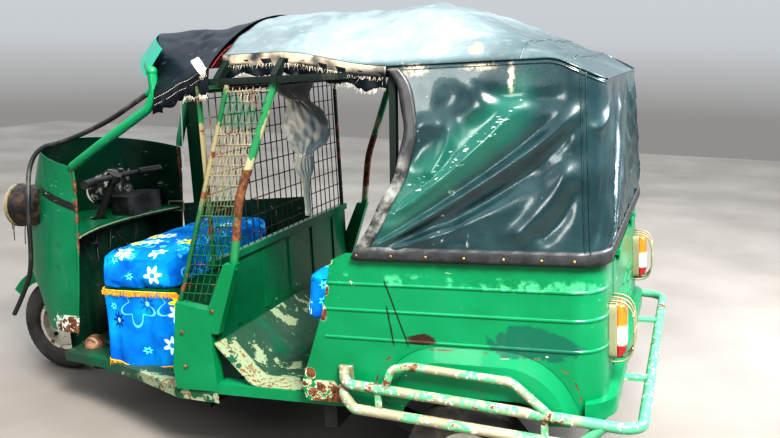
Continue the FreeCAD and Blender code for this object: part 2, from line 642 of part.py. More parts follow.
def hood():
    """Hood shell with the passenger doorways cut in its sides."""
    shell = hood_profile(0).cut(hood_profile(HOOD_WALL))
    doorway = side_plate([(330, 800), (326, 849, 10), (244, 988, 60), (158, 1180, 200), (165, RAIL_Z - 42, 60),
                          (230, RAIL_Z + 30, 60), (600, RAIL_Z + 90, 40), (900, RAIL_Z + 90), (900, 800)],
                         -2 * TUB_HALF, 2 * TUB_HALF)
    return shell.cut(doorway).cut(box(-500, 1000, -2 * TUB_HALF, 2 * TUB_HALF, 700, TUB_TOP - 10))


pieces["hood"] = hood()


BOW_AT = (190.0, 575.0, 774.0)
BOW_SIZE = 20.0
RAIL_REAR = -235.0
LEG_X = TUB_REAR + SHEET + 10.5


def hood_bows():
    """Three bows under the hood, tied by a rail along each side."""
    gap = HOOD_WALL + GAP
    ring = hood_section(gap).extrude(Vector(BOW_SIZE, 0, 0)).cut(
        hood_section(gap + BOW_SIZE).extrude(Vector(BOW_SIZE, 0, 0)))
    bows = []
    for x in BOW_AT:
        bow = ring.copy()
        bow.translate(Vector(x, 0, 0))
        low = TUB_TOP if x < 400 else RAIL_Z
        bows.append(bow.cut(box(x - 5, x + BOW_SIZE + 5, -2 * TUB_HALF, 2 * TUB_HALF, 700, low)))
    rail = box(RAIL_REAR, PART_X + 16, RAIL_IN, RAIL_OUT, RAIL_Z, RAIL_Z + BOW_SIZE)
    rails = [rail.common(hood_profile(gap + 2))]
    rails.append(mirrored(rails[0]))
    rear = box(RAIL_REAR, RAIL_REAR + BOW_SIZE, -RAIL_IN, RAIL_IN, RAIL_Z, RAIL_Z + BOW_SIZE)
    legs = [tube([(RAIL_REAR + 10, y, RAIL_Z + 1, 0), (LEG_X, y, TUB_TOP + 40, 300), (LEG_X, y, TUB_TOP - 80, 0)], 10)
            for y in (RAIL_IN - 30, 30 - RAIL_IN)]
    return fused(bows + rails + [rear] + legs)


pieces["hood_bows"] = hood_bows()


def cowl_row(row, s, rear_cut=0.0):
    """Plan outline of the front cowl at one height, drawn in by s: two flank arcs and the nose."""
    z, nose, rear, half = row
    nose, half = nose - s, half - s
    reach = nose - rear
    back = rear - rear_cut
    left, right = Vector(back, half, z), Vector(back, -half, z)
    turn_l, turn_r = Vector(rear + 0.76 * reach, 0.65 * half, z), Vector(rear + 0.76 * reach, -0.65 * half, z)
    bulge_l, bulge_r = Vector(rear + 0.437 * reach, 0.9 * half, z), Vector(rear + 0.437 * reach, -0.9 * half, z)
    return Part.Wire([Part.LineSegment(right, left).toShape(), Part.Arc(left, bulge_l, turn_l).toShape(),
                      Part.Arc(turn_l, Vector(nose, 0, z), turn_r).toShape(),
                      Part.Arc(turn_r, bulge_r, right).toShape()])


def cowl_solid(s):
    """Filled cowl, drawn in by s."""
    return Part.makeLoft([cowl_row(row, s) for row in COWL_ROWS], True, False)


cowl_full = cowl_solid(0.0)
cowl_inside = cowl_solid(SHEET)


def lamp_rod(side, radius, start, length):
    """Cylinder on a headlamp's axis."""
    x, y, z = LAMP_AT
    return Part.makeCylinder(radius, length, Vector(x + start, side * y, z), Vector(1, 0, 0))


def cowl():
    """Front cowl: one curved sheet, open behind, arched over the wheel, holed for the two lamps."""
    rear_row = [(row[2] + 0.5, row[0]) for row in COWL_ROWS]
    open_back = side_plate([(1400, 400), (rear_row[0][0], 400)] + rear_row + [(1400, 1200)], -345, 345)
    shell = cowl_full.cut(cowl_inside).cut(open_back)
    (x0, z0), (x1, z1) = SCREEN_SILL
    above = side_plate([(x0, z0), (x1, z1), (2200, 1300), (1400, 1300)], -500, 500)
    arch = side_plate([(1720, 380), (1822, 440, 30), (1872, 590, 60), (1960, 650, 60), (2200, 660), (2200, 380)],
                      -500, 500)
    shell = shell.cut(above).cut(arch)
    for side in (1, -1):
        shell = shell.cut(lamp_rod(side, LAMP_R + GAP, 0, 300))
        shell = shell.cut(lamp_rod(side, LAMP_R + LAMP_RIM + GAP, LAMP_DEEP - 8 - GAP, 200))
    lips = []
    for side in (1, -1):
        corners = [(row[2], side * (row[3] - 1), row[0], 300 if 0 < i < 4 else 0) for i, row in enumerate(COWL_ROWS[:5])]
        lips.append(tube(corners + [(COWL_ROWS[4][2] - 2, side * 349, 1086, 0)], LIP_R))
    return fused([shell] + lips)


pieces["front_cowl"] = cowl()


def lamp_bucket(side):
    """Headlamp bucket: a dished pot with a rolled rim."""
    pot = lamp_rod(side, LAMP_R, 0, LAMP_DEEP).cut(lamp_rod(side, LAMP_R - 2, 2, LAMP_DEEP))
    rim_ring = lamp_rod(side, LAMP_R + LAMP_RIM, LAMP_DEEP - 8, 12).cut(lamp_rod(side, LAMP_R - 2, LAMP_DEEP - 20, 40))
    return fused([pot, rim_ring])


pieces["headlamp_buckets"] = Part.makeCompound([lamp_bucket(1), lamp_bucket(-1)])
x, y, z = LAMP_AT
lens = Part.makeSphere(170, Vector(x + LAMP_DEEP - 150, -y, z)).common(lamp_rod(-1, LAMP_R - 2 - GAP, 80, 100))
pieces["headlamp_lens_right"] = lens


def bulkhead():
    """Inner panel behind the front wheel, from the floor to the shelf."""
    panel = box(BULKHEAD_X, BULKHEAD_X + SHEET, -360, 360, 432, SHELF_Z - GAP).common(cowl_solid(SHEET + 3 * GAP))
    foot = box(BULKHEAD_X, BULKHEAD_X + SHEET, -300, 300, DRIVER_FLOOR - SILL_DROP, 440)
    return fused([panel, foot])


pieces["bulkhead"] = bulkhead()


def shelf():
    """Dash shelf with a scalloped rear edge and a turned-down lip, holed for the column."""
    plate = box(1560, 2100, -400, 400, SHELF_Z, SHELF_Z + SHEET)
    lip_box = box(1560, 2100, -400, 400, SHELF_Z - 18, SHELF_Z + SHEET)
    inside = cowl_solid(SHEET + 3 * GAP)
    near, far, deep = Vector(1592, 347, 700), Vector(1592, -347, 700), Vector(1668, 0, 700)
    edge = Part.Arc(near, deep, far).toShape()
    back = Part.Wire([edge, Part.LineSegment(far, Vector(1400, -347, 700)).toShape(),
                      Part.LineSegment(Vector(1400, -347, 700), Vector(1400, 347, 700)).toShape(),
                      Part.LineSegment(Vector(1400, 347, 700), near).toShape()])
    scallop = Part.Face(back).extrude(Vector(0, 0, 300))
    wider = scallop.copy()
    wider.translate(Vector(SHEET, 0, 0))
    lip = lip_box.common(wider).cut(scallop)
    hole = rod(tuple(on_axis(SHELF_Z - 60)), tuple(on_axis(SHELF_Z + 60)), COLUMN_R + 16)
    whole = plate.cut(scallop).common(inside)
    return fused([whole, lip.common(inside)]).cut(hole)


pieces["dash_shelf"] = shelf().cut(Part.makeCompound([lamp_rod(s, LAMP_R + GAP, -1, 300) for s in (1, -1)])).cut(
    pieces["front_cowl"])
pieces["dash_box"] = plan_plate([(1650, -300, 20), (1760, -300, 20), (1760, -70, 20), (1650, -70, 20)],
                                SHELF_Z + SHEET + GAP, 905)


def steering_head():
    """Head tube that the column turns in, gusseted to the bulkhead."""
    low, high = on_axis(HEAD_LOW), on_axis(HEAD_HIGH)
    tube_out = rod(tuple(low), tuple(high), COLUMN_R + 8)
    bore = rod(tuple(on_axis(HEAD_LOW - 20)), tuple(on_axis(HEAD_HIGH + 20)), COLUMN_R + 0.08)
    gusset = side_plate([(BULKHEAD_X + SHEET + GAP, HEAD_LOW + 4), (low.x - 6, HEAD_LOW + 8), (high.x - 6, HEAD_HIGH - 10),
                         (BULKHEAD_X + SHEET + GAP, HEAD_HIGH - 14)], -12, 12)
    return fused([tube_out, gusset]).cut(bore)


pieces["steering_head"] = steering_head()

# Windscreen frame: both pillars and the header, the left side pushed back and down
PILLAR_FOOT_Z = 1092.0
PILLAR_RISE = (RAIL_Z - PILLAR_FOOT_Z) / 280
LEFT_PILLAR = [(1571, 347, PILLAR_FOOT_Z, 0), (1391, 385, PILLAR_FOOT_Z + 90 * PILLAR_RISE, 300),
               (1251, 400, PILLAR_FOOT_Z + 162 * PILLAR_RISE, 200), (1168, 402, PILLAR_FOOT_Z + 208 * PILLAR_RISE, 60),
               (1136, 400, PILLAR_FOOT_Z + 258 * PILLAR_RISE, 60), HEADER_LEFT + (0,)]
RIGHT_PILLAR = [(1568, -347, PILLAR_FOOT_Z, 0), (1545, -385, PILLAR_FOOT_Z + 148 * PILLAR_RISE, 200),
                HEADER_RIGHT + (0,)]


# Loose screen gasket: from the left pillar's top, over the screen sill and down outside the lamp
GASKET_R = 9.0
GASKET_ROUTE = [(1172, 390, 1351), (1262, 367, 1313), (1370, 345, 1265), (1475, 327, 1229), (1597, 304, 1193),
                (1698, 286, 1171), (1752, 282, 1164), (1792, 294, 1136), (1811, 312, 1084), (1806, 334, 1024),
                (1799, 351, 957), (1806, 356, 885), (1815, 352, 805), (1827, 348, 725), (1850, 342, 658),
                (1887, 337, 600), (1922, 338, 545), (1957, 342, 492)]
STRING_R = 2.5
STRING_AT = 0.84
STRING_LONG = 484.0
KNOT_R = 8.0


header_line = Part.Arc(Vector(*HEADER_LEFT), Vector(*HEADER_MID), Vector(*HEADER_RIGHT)).toShape()


def windscreen_frame():
    """Pillars and bowed header of the windscreen; its glass is gone."""
    left, right = tube(LEFT_PILLAR, PILLAR_R), tube(RIGHT_PILLAR, PILLAR_R)
    arc = header_line
    start = arc.valueAt(arc.FirstParameter)
    ring = Part.Wire(Part.makeCircle(PILLAR_R, start, arc.tangentAt(arc.FirstParameter)))
    header = Part.Wire([arc]).makePipeShell([ring], True, True)
    balls = [Part.makeSphere(PILLAR_R + 2, Vector(*p)) for p in (HEADER_LEFT, HEADER_RIGHT)]
    first, second = Vector(*GASKET_ROUTE[0]), Vector(*GASKET_ROUTE[1])
    back = (first - second).normalize() * 26
    stub = rod(tuple(first + back), tuple(first), GASKET_R + 3)
    return fused([header] + balls + [left, right, stub])


frame = windscreen_frame()
pieces["windscreen_frame"] = frame.cut(cowl_full).cut(pieces["front_cowl"])


def ruled_sheet(first, second, push):
    """Sheet between two arcs, each given by three points, thickened along push."""
    arcs = [Part.Arc(*[Vector(*p) for p in three]).toShape() for three in (first, second)]
    return Part.makeRuledSurface(arcs[0], arcs[1]).extrude(Vector(*push))


COVER_REAR, COVER_HALF = HOOD_FRONT + 2 * GAP, SEAM_HALF - 9
ROOF_EDGE_REAR = ((COVER_REAR, COVER_HALF, RAIL_Z + 60), (COVER_REAR, 0, ROOF_Z - 1),
                  (COVER_REAR, -COVER_HALF, RAIL_Z + 60))
ROOF_EDGE_FRONT = ((1118, 424, RAIL_Z - 37), (1345, 30, RAIL_Z + 190), (1480, -452, RAIL_Z + 48))
VISOR_LOW = ((1166, 408, RAIL_Z + 36), (1424, 0, RAIL_Z + 134), (1520, -436, RAIL_Z + 116))
VISOR_HIGH = ((1092, 396, RAIL_Z + 128), (1350, 10, RAIL_Z + 196), (1452, -420, RAIL_Z + 173))
pieces["roof_cover"] = ruled_sheet(ROOF_EDGE_REAR, ROOF_EDGE_FRONT, (0, 0, -HOOD_WALL)).cut(frame)
pieces["roof_visor"] = ruled_sheet(VISOR_LOW, VISOR_HIGH, (-2, 0, -1)).cut(frame).cut(pieces["roof_cover"])


def side_grille():
    """Welded grille beside the driver: an inclined front tube and slanting wires."""
    foot, head = (1000.0, 662.0), (750.0, RAIL_Z - GAP)
    lean = (head[0] - foot[0]) / (head[1] - foot[1])
    y = SEAT_HALF + 3
    front = rod((foot[0], y, foot[1]), (head[0], y, head[1]), 8)
    wires = []
    rise = RAIL_Z - 10 - foot[1]
    for i in range(1, 6):
        x0 = foot[0] - 24 * i
        x1 = x0 + lean * rise
        wires.append(side_plate([(x0 - 1.5, foot[1]), (x0 + 1.5, foot[1]), (x1 + 1.5, foot[1] + rise),
                                 (x1 - 1.5, foot[1] + rise)], y - 1.5, y + 1.5))
    bars = []
    for i in range(11):
        z = 690.0 + (RAIL_Z - 712) / 10 * i
        x1 = foot[0] + lean * (z - foot[1])
        if z < 790:
            post_x = 830 - 0.45 * (z - 690)
        elif z < POST_KNEE_Z:
            post_x = 783 - 37 * (z - 780) / (POST_KNEE_Z - 780)
        else:
            post_x = 741 - 156 * (z - POST_KNEE_Z) / (RAIL_Z + 23 - POST_KNEE_Z)
        bars.append(box(post_x, x1, y + 1.5, y + 4.5, z - 1.5, z + 1.5))
    return fused([front] + wires + bars)


above_rails = box(300, 1200, 0, 700, RAIL_Z - GAP, RAIL_Z + 60)
pieces["side_grille_left"] = side_grille().cut(pieces["b_post_left"]).cut(above_rails)


def right_side():
    """Fixed lower panel that closes the driver's right side, and the upright post above it."""
    outline = [(1038 + GAP, 2 - SEAT_HALF, 0), (1280, -462, 200), (1520, -378, 100), (1580, -352, 0)]
    inner = [(p[0], p[1] + SHEET, p[2]) for p in reversed(outline)]
    panel = plan_plate(outline + inner, DRIVER_FLOOR + GAP, 830)
    post = box(1462, 1540, -404, -380, 640, RAIL_Z + 80)
    return fused([panel, post.cut(box(1400, 1600, -420, -300, 600, 831)), box(1462, 1540, -404, -378, 800, 832)])


pieces["right_side_panel"] = right_side().cut(pieces["front_cowl"]).cut(pieces["roof_cover"]).cut(frame)

# Tail lamps, their guards and the horn
LAMP_LOW, LAMP_HIGH = 535.0, 705.0


def tail_lamps():
    """Housings, lens blocks and wire cages of both tail lamps."""
    housing = box(TUB_REAR - 22, TUB_REAR - GAP, LAMP_IN, LAMP_OUT, LAMP_LOW, LAMP_HIGH)
    lens = side_plate([(TUB_REAR - 22 - GAP, LAMP_LOW + 6), (TUB_REAR - 22 - GAP, LAMP_HIGH - 6),
                       (TUB_REAR - 46, LAMP_HIGH - 12, 8), (TUB_REAR - 46, LAMP_LOW + 12, 8)], LAMP_IN + 6, LAMP_OUT - 6)
    low, high, out = LAMP_LOW - 8, LAMP_HIGH + 8, TUB_REAR - 70
    bars = [rod((out, LAMP_IN + 6, z), (out, LAMP_OUT - 6, z), 3) for z in (575, 620, 665)]
    for y in (LAMP_IN + 12, (LAMP_IN + LAMP_OUT) / 2, LAMP_OUT - 12):
        bars += [rod((TUB_REAR - 2 * GAP, y, z), (out - 3, y, z), 3) for z in (low, high)]
        bars.append(rod((out, y, low - 3), (out, y, high + 3), 3))
    return housing, lens, fused(bars)


housing, tail_lens, cage = tail_lamps()
pieces["tail_lamp_housings"] = Part.makeCompound([housing, mirrored(housing), cage, mirrored(cage)])
pieces["tail_lamp_lenses"] = Part.makeCompound([tail_lens, mirrored(tail_lens)])


def horn():
    """Horn at the foot of the cowl: a slotted dome on a drum."""
    at = Vector(1640, 262, DRIVER_FLOOR + GAP)
    dome = Part.makeSphere(42, at + Vector(0, 0, 6)).common(box(1580, 1700, 200, 320, at.z, 440))
    for i in range(-2, 3):
        dome = dome.cut(box(at.x - 60, at.x + 60, at.y + 15 * i - 2.5, at.y + 15 * i + 2.5, at.z + 22, 440))
    return dome


pieces["horn"] = horn()


def curtain():
    """Curtain gathered, knotted and hung from the rod behind the grille."""
    # Rows: height, middle x, middle y, half x, half y
    rod_x, rod_z = PART_X - ROD_BACK, RAIL_Z - 2 * GAP - 24
    rows = ((rod_z, rod_x, -95.0, 8.0, 90.0), (1290.0, 816.0, -90.0, 22.0, 34.0), (1195.0, 766.0, -98.0, 76.0, 92.0),
            (1135.0, 766.0, -98.0, 74.0, 90.0), (1080.0, 800.0, -60.0, 22.0, 25.0), (1005.0, 800.0, -60.0, 26.0, 36.0))
    wires = []
    for z, x, y, a, b in rows:
        r = 0.8 * min(a, b)
        wires.append(rounded([(x - a, y - b, z, r), (x + a, y - b, z, r), (x + a, y + b, z, r), (x - a, y + b, z, r)]))
    return Part.makeLoft(wires, True, True)


pieces["curtain"] = curtain()


def cord(route, radius):
    """Cord along its route, each bend as wide as its two runs allow. Prints the bend radii."""
    spots = [Vector(*p) for p in route]
    corners = [tuple(route[0]) + (0,)]
    for a, b, c in zip(spots, spots[1:], spots[2:]):
        turn = pi - (a - b).getAngle(c - b)
        bend = 0.45 * min((a - b).Length, (c - b).Length) / tan(turn / 2)
        corners.append(tuple(b) + (bend,))
    corners.append(tuple(route[-1]) + (0,))
    line = rounded(corners, closed=False)
    solid = tube(corners, radius)
    print("bends", [round(c[3]) for c in corners[1:-1]], "length", round(line.Length),
          "volume ratio", round(solid.Volume / (line.Length * pi * radius ** 2), 4))
    return solid


pieces["loose_gasket"] = cord(GASKET_ROUTE, GASKET_R)
down = Vector(sin(tilt), 0, -cos(tilt))
span = header_line.LastParameter - header_line.FirstParameter
string_top = header_line.valueAt(header_line.FirstParameter + STRING_AT * span) + down * (PILLAR_R + 3 * GAP)
string_end = string_top + down * STRING_LONG
pieces["pull_string"] = rod(tuple(string_top), tuple(string_end), STRING_R)
pieces["string_knot"] = rod(tuple(string_end + down * GAP), tuple(string_end + down * (2 * KNOT_R + GAP)), KNOT_R)

# Stance: turn all of it nose down about the rear axle, then put the origin under its middle
for name, shape in pieces.items():
    shape.rotate(Vector(0, 0, TYRE_R), Vector(0, 1, 0), STANCE)
whole = Part.makeCompound(list(pieces.values())).optimalBoundingBox(False)
shift = Vector(-(whole.XMin + whole.XMax) / 2, 0, 0)
os.makedirs("parts", exist_ok=True)
for name, shape in pieces.items():
    shape.translate(shift)
    shape.exportStep("parts/" + name + ".step")
    print(name, len(shape.Solids), round(shape.Volume / 1000), shape.isValid())
print("shift", round(shift.x, 4), "length", round(whole.XLength), "width", round(whole.YLength),
      "height", round(whole.ZMax), "low", round(whole.ZMin, 3))
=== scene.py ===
# %% [markdown]
# # Dressing a worn auto rickshaw
# The solid model gives every panel, tube and wheel its place. This lesson adds what a
# solid model can't say: cloth that pulls into folds, paint that has chipped to rust,
# rubber, glass, wires and stitches. Every new surface is worked out with numpy as a
# function of two parameters, and every finish is a formula on the object's own place.

# %% Load the solid model
import math
import bpy
import bmesh
import numpy as np
from mathutils import Matrix, Vector


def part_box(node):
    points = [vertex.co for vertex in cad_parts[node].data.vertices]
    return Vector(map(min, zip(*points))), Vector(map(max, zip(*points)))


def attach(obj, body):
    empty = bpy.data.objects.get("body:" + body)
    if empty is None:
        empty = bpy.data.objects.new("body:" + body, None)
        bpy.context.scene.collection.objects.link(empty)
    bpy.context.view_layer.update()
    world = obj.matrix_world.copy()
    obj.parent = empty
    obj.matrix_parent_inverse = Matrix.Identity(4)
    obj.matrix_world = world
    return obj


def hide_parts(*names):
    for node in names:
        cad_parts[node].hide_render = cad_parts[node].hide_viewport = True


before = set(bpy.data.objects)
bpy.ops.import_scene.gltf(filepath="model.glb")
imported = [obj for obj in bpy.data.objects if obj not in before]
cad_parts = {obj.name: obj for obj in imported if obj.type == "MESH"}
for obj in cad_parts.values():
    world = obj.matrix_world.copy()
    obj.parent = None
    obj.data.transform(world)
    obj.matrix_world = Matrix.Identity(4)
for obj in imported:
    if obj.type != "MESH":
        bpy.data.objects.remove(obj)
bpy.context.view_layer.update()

print("solid model:", len(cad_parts), "nodes")


def middle_of(node):
    """Middle of a node's box, in the row's frame."""
    low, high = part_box(node)
    return (np.array(low) + np.array(high)) / 2


# %% [markdown]
# ## One frame for the body
# The vehicle stands nose down, because its front suspension has sunk. Its body is easier to
# describe level, in millimetres, with zero on the ground under the rear axle. One function
# tilts such points into the row's frame, and every surface below ends in it.

# %% The level body frame
TILT = math.radians(4.106)
AXLE_Z = 206.0
AXLE_X = float(middle_of("tyre_rear_left")[0])


def to_row(points):
    """Level body millimetres to row metres: a turn about the rear axle, then a shift along x."""
    p = np.asarray(points, float)
    x, y, z = p[..., 0], p[..., 1], p[..., 2] - AXLE_Z
    return np.stack([(x * math.cos(TILT) + z * math.sin(TILT)) / 1000 + AXLE_X, y / 1000,
                     (AXLE_Z - x * math.sin(TILT) + z * math.cos(TILT)) / 1000], axis=-1)


print("rear axle at x =", round(AXLE_X, 4))

# %% [markdown]
# ## The camera
# The viewpoint was solved from the wheels, the hood's hem and the guard tubes in the
# photograph: it stands about 2.9 m to the left of the vehicle, level with the top of the
# doorway, and looks forward and down. The lens follows from the same solution.

# %% Camera
YAW, PITCH, ROLL = (math.radians(v) for v in (-70.299, 11.994, 0.884))
EYE_BEHIND, EYE_LEFT, EYE_HIGH = 0.5481, 2.889, 1.459  # metres from the rear axle's middle and the ground
FOCAL_PIXELS, PHOTO_WIDE, SENSOR = 841.77, 780.0, 36.0
ahead = Vector((math.cos(YAW) * math.cos(PITCH), math.sin(YAW) * math.cos(PITCH), -math.sin(PITCH)))
level = Vector((math.sin(YAW), -math.cos(YAW), 0.0))
above = level.cross(ahead)
side = level * math.cos(ROLL) + above * math.sin(ROLL)
head = -level * math.sin(ROLL) + above * math.cos(ROLL)

lens = bpy.data.cameras.new("camera")
lens.lens = SENSOR * FOCAL_PIXELS / PHOTO_WIDE
lens.clip_end = 60.0
camera = bpy.data.objects.new("camera", lens)
bpy.context.scene.collection.objects.link(camera)
eye = Vector((AXLE_X - EYE_BEHIND, EYE_LEFT, EYE_HIGH))
camera.matrix_world = Matrix.Translation(eye) @ Matrix((side, head, -ahead)).transposed().to_4x4()
bpy.context.scene.camera = camera

# %% [markdown]
# ## Light and floor
# A pale floor, an overcast sky that brightens towards its top, and four square soft lamps:
# the key high on the near side, a rim lamp behind that draws highlights along the hood's
# folds, and two weak ones that lift the doorway and the front.

# %% Floor, sky and lamps
def area_lamp(name, place, target, power, size, tint):
    """A square soft lamp at place that looks at target."""
    data = bpy.data.lights.new(name, "AREA")
    data.energy, data.size, data.color = power, size, tint
    lamp = bpy.data.objects.new(name, data)
    lamp.location = place
    lamp.rotation_euler = (Vector(target) - Vector(place)).to_track_quat("-Z", "Y").to_euler()
    bpy.context.scene.collection.objects.link(lamp)
    return lamp


area_lamp("key", (-2.6, 3.0, 4.6), (-0.9, 0.2, 0.7), 800, 1.7, (1.0, 0.97, 0.92))
area_lamp("fill", (0.1, 3.0, 1.72), (0.0, -0.1, 1.15), 15, 0.6, (1.0, 0.98, 0.94))
area_lamp("rim", (-4.2, -2.2, 3.4), (-0.4, 0.0, 1.0), 320, 2.2, (0.88, 0.94, 1.0))
area_lamp("front", (4.0, 3.0, 2.6), (0.8, 0.0, 0.8), 30, 1.8, (1.0, 0.98, 0.95))

sky = bpy.data.worlds.new("sky")
sky.use_nodes = True
sky_nodes, sky_links = sky.node_tree.nodes, sky.node_tree.links
direction = sky_nodes.new("ShaderNodeTexCoord")
split = sky_nodes.new("ShaderNodeSeparateXYZ")
scale = sky_nodes.new("ShaderNodeMapRange")
scale.inputs["From Min"].default_value, scale.inputs["From Max"].default_value = -1.0, 1.0
grade = sky_nodes.new("ShaderNodeValToRGB")
for stop, tint in ((0.46, (0.30, 0.29, 0.28)), (0.50, (0.52, 0.54, 0.56)), (0.58, (0.58, 0.62, 0.66)),
                   (0.74, (0.85, 0.93, 1.02)), (0.86, (1.5, 1.6, 1.7)), (0.95, (2.6, 2.7, 2.8))):
    point = grade.color_ramp.elements.new(stop)
    point.color = (*tint, 1.0)
grade.color_ramp.elements.remove(grade.color_ramp.elements[0])
grade.color_ramp.elements.remove(grade.color_ramp.elements[-1])
sky_links.new(direction.outputs["Generated"], split.inputs[0])
sky_links.new(split.outputs["Z"], scale.inputs["Value"])
sky_links.new(scale.outputs["Result"], grade.inputs["Fac"])
sky_links.new(grade.outputs["Color"], sky_nodes["Background"].inputs["Color"])
sky_nodes["Background"].inputs["Strength"].default_value = 0.85
bpy.context.scene.world = sky
bpy.context.scene.view_settings.view_transform = "Standard"
bpy.context.scene.view_settings.look = "High Contrast"


def new_mesh(name, vertices, faces, smooth=True):
    """A mesh object from whole arrays of row-frame vertices and face indices."""
    data = bpy.data.meshes.new(name)
    faces = faces if isinstance(faces, list) else faces.tolist()
    data.from_pydata(np.asarray(vertices).reshape(-1, 3).tolist(), [], faces)
    data.polygons.foreach_set("use_smooth", np.full(len(data.polygons), smooth))
    data.update()
    made = bpy.data.objects.new(name, data)
    bpy.context.scene.collection.objects.link(made)
    return made


def settle(data, merge=0.0, fill=False):
    """Merge the doubles of a mesh, fill its open ends where asked, and turn every face outwards."""
    mesh = bmesh.new()
    mesh.from_mesh(data)
    if merge:
        bmesh.ops.remove_doubles(mesh, verts=mesh.verts, dist=merge)
    if fill:
        bmesh.ops.holes_fill(mesh, edges=mesh.edges, sides=0)
    bmesh.ops.recalc_face_normals(mesh, faces=mesh.faces)
    mesh.to_mesh(data)
    mesh.free()


def read(items, attribute, width=3, kind=float):
    """One attribute of all the vertices, faces or corners of a mesh, as an array."""
    values = np.empty(len(items) * width, kind)
    items.foreach_get(attribute, values)
    return values.reshape(-1, width) if width > 1 else values


floor = new_mesh("floor", [(-9, -9, 0), (9, -9, 0), (9, 9, 0), (-9, 9, 0)], [(0, 1, 2, 3)], False)

# %% [markdown]
# ## Writing finishes as formulas
# A shader graph is arithmetic, so it is written as arithmetic. `Signal` wraps a node's
# output and overloads the operators. `Finish` owns one material, and its `add` makes any
# other node from its type, its settings and the values or links of its sockets.

# %% Signal and Finish
class Signal:
    """A number or colour that varies over a surface, usable in plain Python expressions."""

    def __init__(self, finish, socket):
        self.finish, self.socket = finish, socket

    def _with(self, operation, other, reflected=False):
        pair = (other, self) if reflected else (self, other)
        return self.finish.add("ShaderNodeMath", {"operation": operation}, {0: pair[0], 1: pair[1]})

    def __add__(self, other): return self._with("ADD", other)
    def __radd__(self, other): return self._with("ADD", other, True)
    def __sub__(self, other): return self._with("SUBTRACT", other)
    def __rsub__(self, other): return self._with("SUBTRACT", other, True)
    def __mul__(self, other): return self._with("MULTIPLY", other)
    def __rmul__(self, other): return self._with("MULTIPLY", other, True)
    def __truediv__(self, other): return self._with("DIVIDE", other)
    def __pow__(self, other): return self._with("POWER", other)
    def __abs__(self): return self._with("ABSOLUTE", 0.0)

    def most(self, other): return self._with("MAXIMUM", other)
    def sine(self): return self._with("SINE", 0.0)
    def cosine(self): return self._with("COSINE", 0.0)

    def rise(self, low, high):
        """0 below low, 1 above high, smooth between: the mask that most wear is made of."""
        return self.finish.add("ShaderNodeMapRange", {"interpolation_type": "SMOOTHSTEP", "clamp": True},
                               {"Value": self, "From Min": low, "From Max": high})

    def band(self, middle, half, soft):
        """1 within half of the middle, with soft edges."""
        return 1.0 - abs(self - middle).rise(half, half + soft)


